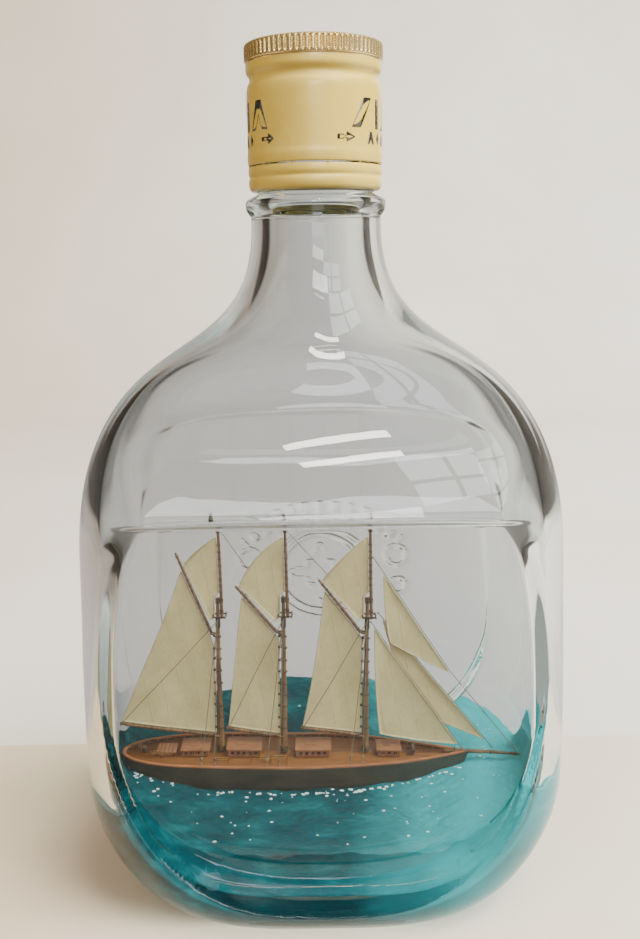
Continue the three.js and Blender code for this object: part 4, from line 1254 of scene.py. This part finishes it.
FORE_X = MASTS["fore"]["x"]
STAYS = {
    "staysail_stay": ([(FORE_X + 0.95, 58.9), (35, DECK_TOP + 1.5)], -0.9),
    "jib_stay": ([(FORE_X + 2.8, 60.6), (43, 24.2)], 0.9),
    "outer_stay": ([(FORE_X + topmast_ahead(75.4) + 0.6, 75.4), (31.8, 45), (49.4, 23.4)], 0.0),
}
for mast_name, spec in MASTS.items():
    gaff_sail(mast_name, spec)
    gaff_topsail(mast_name, spec)
head_sail("staysail", STAYS["staysail_stay"][0], 0.05, 0.96, (14.2, 28.8), -0.9, 0.5)
head_sail("jib", STAYS["jib_stay"][0], 0.05, 0.93, (22.5, 35.1), 0.9, 0.5)
head_sail("flying_jib", STAYS["outer_stay"][0][:2], 0.15, 0.98, (16.3, 53.2), 0.0, 0.4)


# ---- rigging --------------------------------------------------------------------------------
def thread(shape, points, radius=0.1):
    return shape.tube(resampled(points, 2.0), radius, 7)


def stays():
    for name, (line, y) in STAYS.items():
        shape = thread(Shape(), [(x, y, z) for x, z in line])
        for x, z in (line[0], line[-1]):
            shape.blob((x, y, z), (0.24, 0.24, 0.24))
        fit(name + "_line", shape, ROPE, "rigging_thread", name)


def topmast_stays():
    y, z = 0.75, 82
    for aft, ahead in (("mizzen", "main"), ("main", "fore")):
        start = (MASTS[aft]["x"] + topmast_ahead(z) + 0.6, y, z)
        end = (MASTS[ahead]["x"] - 1.6, y, HOUNDS_Z + 1.2)
        name = aft + "_topmast_stay"
        fit(name + "_line", thread(Shape(), [start, end]), ROPE, "rigging_thread", name)


def shrouds(node, x, way):
    """Two shrouds on one side of a mast, each with a pair of deadeyes at its foot."""
    shape = Shape()
    for aft in (-1, -4.2):
        foot = x + aft
        y = way * (half_beam(np.array(foot), RAIL_WIDTH) - 0.5)
        thread(shape, [(foot, y, DECK_TOP + 0.1), (x, way * 1.05, HOUNDS_Z - 0.6)])
        shape.blob((foot, y, DECK_TOP + 0.5), (0.3, 0.3, 0.45))
        shape.blob((foot, y * 0.97, DECK_TOP + 1.9), (0.3, 0.3, 0.45))
    fit(node + "_lines", shape, ROPE, "rigging_thread", node)


def mast_rigging(name, spec):
    x, end, peak = spec["x"], spec["boom_end"], spec["peak"]
    lift = thread(Shape(), [(x - 0.3, -1.25, 58.8), (end[0], -1.25, end[1])])
    fit(name + "_topping_line", lift, ROPE, "rigging_thread", name + "_topping_lift")
    for side, way in (("near", -1), ("far", 1)):
        shrouds(f"{name}_shrouds_{side}", x, way)
    half_length, z = 1.7, DECK_TOP + 1.7
    pin = Shape().tube([(x, -half_length, z), (x, half_length, z)], 0.2, 12)
    for y in (-half_length, half_length):
        pin.blob((x, y, z), (0.28, 0.2, 0.28))
    fit(name + "_pin", pin, BRASS, "pin_brass", name + "_mast_pin")
    along = 0.62
    hold = (mix(x, peak[0], along), 0.5, mix(spec["throat"], peak[1], along))
    halyard = thread(Shape(), [(x, 0.5, MAST_TOP - 0.6), hold], 0.07)
    fit(name + "_peak_halyard", halyard, ROPE, "rigging_thread")


stays()
for mast_name, spec in MASTS.items():
    mast_rigging(mast_name, spec)
topmast_stays()


# ---- stage: camera, floor and light, all in metres ------------------------------------------
def camera():
    place, drop, roll = (0, -0.2367, 0.1504), math.radians(12.65), math.radians(-0.93)
    data = bpy.data.cameras.new("camera")
    data.lens, data.sensor_width = 38.34, 36
    data.clip_start, data.clip_end = 0.01, 50
    data.dof.use_dof = False
    seat = bpy.data.objects.new("camera", data)
    turn = Matrix.Rotation(math.radians(90) - drop, 4, "X") @ Matrix.Rotation(roll, 4, "Z")
    seat.matrix_world = Matrix.Translation(place) @ turn
    bpy.context.scene.collection.objects.link(seat)
    bpy.context.scene.camera = seat


def ahead_of_bottle(n):
    """Rises from nothing under the bottle to nearly one ahead of it, where the panel mirrors the table;
    there the table gets its painted shade.
    """
    return n.between(n.axes()["Y"], 0.95, 0.0, -0.062, -0.042)


def painted_dark_corners(n):
    """Painted dark patches beside the wall's foot and at its far sides, standing in for the dim parts of the
    room, which only the shoulders of the glass show.
    """
    across, along, up = n.axes()
    left = n.between(across, 0.95, 0.0, -0.26, -0.19)
    right = n.between(across, 0.0, 0.95, 0.15, 0.21)
    foot = n.times(n.between(along, 0.0, 1.0, 0.31, 0.38), n.between(up, 1.0, 0.0, 0.05, 0.14))
    near = n.times(n.maths("MAXIMUM", left, right), foot)
    far = n.between(n.maths("ABSOLUTE", across), 0.0, 0.95, 0.82, 0.95)
    return n.maths("MAXIMUM", near, far)


def by_glass(n, amount):
    """The amount for all light but the camera's own straight view, for which it is nothing."""
    indirect = n.maths("SUBTRACT", 1.0, n.node("LightPath").outputs["Is Camera Ray"])
    return n.times(amount, indirect)


# painted shade: the dim colour that the table ahead of the bottle takes in all views but the camera's own
PAINTED_TABLE_SHADE = (84, 78, 72)


def wall_paint():
    n = Nodes("pale_table")
    across = n.axes()["X"]
    tone = n.ramp(n.noise(160, 4), [(0.35, (226, 221, 210)), (0.65, (232, 228, 219))])
    # painted warm light: the wall's colour is tinted warmer towards the left
    tone = n.blend("MULTIPLY", n.between(across, 1.0, 0.0, -0.5, 0.1), tone, (250, 238, 222))
    # painted shade: in all views but the camera's own the wall is darker and bluer, fully left of about 3 cm
    # past the middle, falling to a quarter beyond 24 cm
    painted_glass_shade = by_glass(n, n.between(across, 1.0, 0.25, 0.03, 0.24))
    tone = n.blend("MULTIPLY", painted_glass_shade, tone, (178, 178, 190))
    # painted shade: near-black patches on the wall that only reflected and refracted light sees
    tone = n.blend("MIX", by_glass(n, painted_dark_corners(n)), tone, (42, 36, 30))
    # painted shade on the table ahead of the bottle, seen only in the glass
    tone = n.blend("MIX", by_glass(n, ahead_of_bottle(n)), tone, PAINTED_TABLE_SHADE)
    return n.finish(n.principled(Base_Color=tone, Roughness=n.between(n.noise(30, 4), 0.55, 0.7)))


def table_paper():
    n = Nodes("paper")
    tone = n.ramp(n.noise(120, 4), [(0.35, (224, 214, 198)), (0.65, (232, 225, 212))])
    # painted warm light: the paper's colour is tinted warmer towards the left
    tone = n.blend("MULTIPLY", n.between(n.axes()["X"], 1.0, 0.0, -0.14, 0.14), tone, (240, 220, 194))
    # painted shade on the paper ahead of the bottle, seen only in the glass
    tone = n.blend("MIX", by_glass(n, ahead_of_bottle(n)), tone, PAINTED_TABLE_SHADE)
    return n.finish(n.principled(Base_Color=tone, Roughness=n.between(n.noise(25, 4), 0.5, 0.62)))


def backdrop(name, points, faces, material):
    mesh = bpy.data.meshes.new(name)
    mesh.from_pydata(points, [], faces)
    mesh.shade_smooth()
    mesh.materials.append(material)
    piece = bpy.data.objects.new(name, mesh)
    bpy.context.scene.collection.objects.link(piece)


def sweep():
    """A pale table that curves up into a wall behind, and the sheet of paper the bottle stands on."""
    reach, front, start, bend, top, level = 2.8, -1.6, 0.62, 0.5, 5.0, -0.0006
    turn = np.linspace(0, math.pi / 2, 24)
    profile = [(front, level), *zip(start + bend * np.sin(turn), level + bend * (1 - np.cos(turn))),
               (start + bend, top)]
    count = len(profile)
    backdrop("sweep", [(x, y, z) for x in (-reach, reach) for y, z in profile],
             [(k + 1, k, k + count, k + 1 + count) for k in range(count - 1)], wall_paint())
    back, front, side, level = 0.049, -0.6, 1.2, -0.0002
    corners = [(-side, front, level), (side, front, level), (side, back, level), (-side, back, level)]
    backdrop("paper", corners, [(0, 1, 2, 3)], table_paper())


def world():
    """A dim room, lightest on one side; straight views past the stage see a plain pale tone."""
    n = Nodes("room", "World")
    across = n.between(n.axes(n.direction)["X"], 0.0, 1.0, -1.0, 1.0)
    tone = n.ramp(across, [(0.0, (84, 74, 64)), (0.3, (118, 108, 98)), (0.7, (150, 148, 144)),
                           (1.0, (92, 88, 84))])
    tone = n.blend("MIX", n.node("LightPath").outputs["Is Camera Ray"], tone, (214, 210, 202))
    bpy.context.scene.world = n.finish(n.node("Background", Color=tone, Strength=1.0))


def lamp(name, place, aim, size, power, colour=(1, 1, 1), lights=True, shines=True, roll=0.0):
    """A rectangular lamp; it can be kept from lighting surfaces, or from showing in them."""
    data = bpy.data.lights.new(name, "AREA")
    data.shape, data.size, data.size_y = "RECTANGLE", size[0], size[1]
    data.energy, data.color = power, colour
    light = bpy.data.objects.new(name, data)
    light.location = place
    facing = (Vector(aim) - Vector(place)).to_track_quat("-Z", "Y")
    light.rotation_euler = (facing @ Quaternion((0, 0, 1), roll)).to_euler()
    light.visible_diffuse = lights
    light.visible_glossy = shines
    light.visible_transmission = shines
    light.visible_camera = False
    bpy.context.scene.collection.objects.link(light)


def lights():
    middle, daylight = (0, 0, 0.07), (0.9, 0.94, 1.0)
    lamp("soft_window", (0.9, -0.5, 0.9), middle, (0.7, 0.7), 22.0, (0.97, 0.985, 1.0), shines=False)
    lamp("soft_room", (-0.7, -0.8, 1.1), middle, (1.2, 1.2), 14.0, (1.0, 0.87, 0.7), shines=False)
    lamp("wall_wash", (0.9, -0.2, 1.6), (0.1, 1.0, 0.4), (1.5, 0.8), 80.0, (1.0, 0.965, 0.9),
         shines=False)
    shoulder, window = Vector((0.03, -0.03, 0.1)), Vector((0.4, -0.65, 0.7))
    across = Vector((0.86, 0.51, 0)).normalized()
    upward = across.cross(shoulder - window).normalized()
    for row in (-1, 1):
        for col in (-1, 1):
            pane = window + across * 0.125 * col + upward * 0.085 * row
            aim = pane + shoulder - window
            lamp(f"pane_{row}_{col}", pane, aim, (0.22, 0.145), 0.8, daylight, lights=False)
    tubes = Vector((0.085, -0.83, 1.045))
    for step in (-1, 1):
        bar = tubes + Vector((0.018, -0.045, -0.033)) * step
        lamp(f"ceiling_{step}", bar, (0.01, -0.03, 0.11), (0.29, 0.034), 1.5, (1.0, 0.96, 0.86),
             lights=False, roll=math.radians(19))
    lamp("neck_glint", (0.075, -0.94, 0.52), (0, -0.016, 0.142), (0.36, 0.12), 2.2, (0.96, 0.98, 1.0),
         lights=False, roll=math.radians(8))
    lamp("front_glow", (0.1, -1.1, 0.3), (0, 0, 0.18), (0.5, 0.2), 0.7, (1.0, 0.97, 0.9), lights=False)


camera()
sweep()
world()
lights()
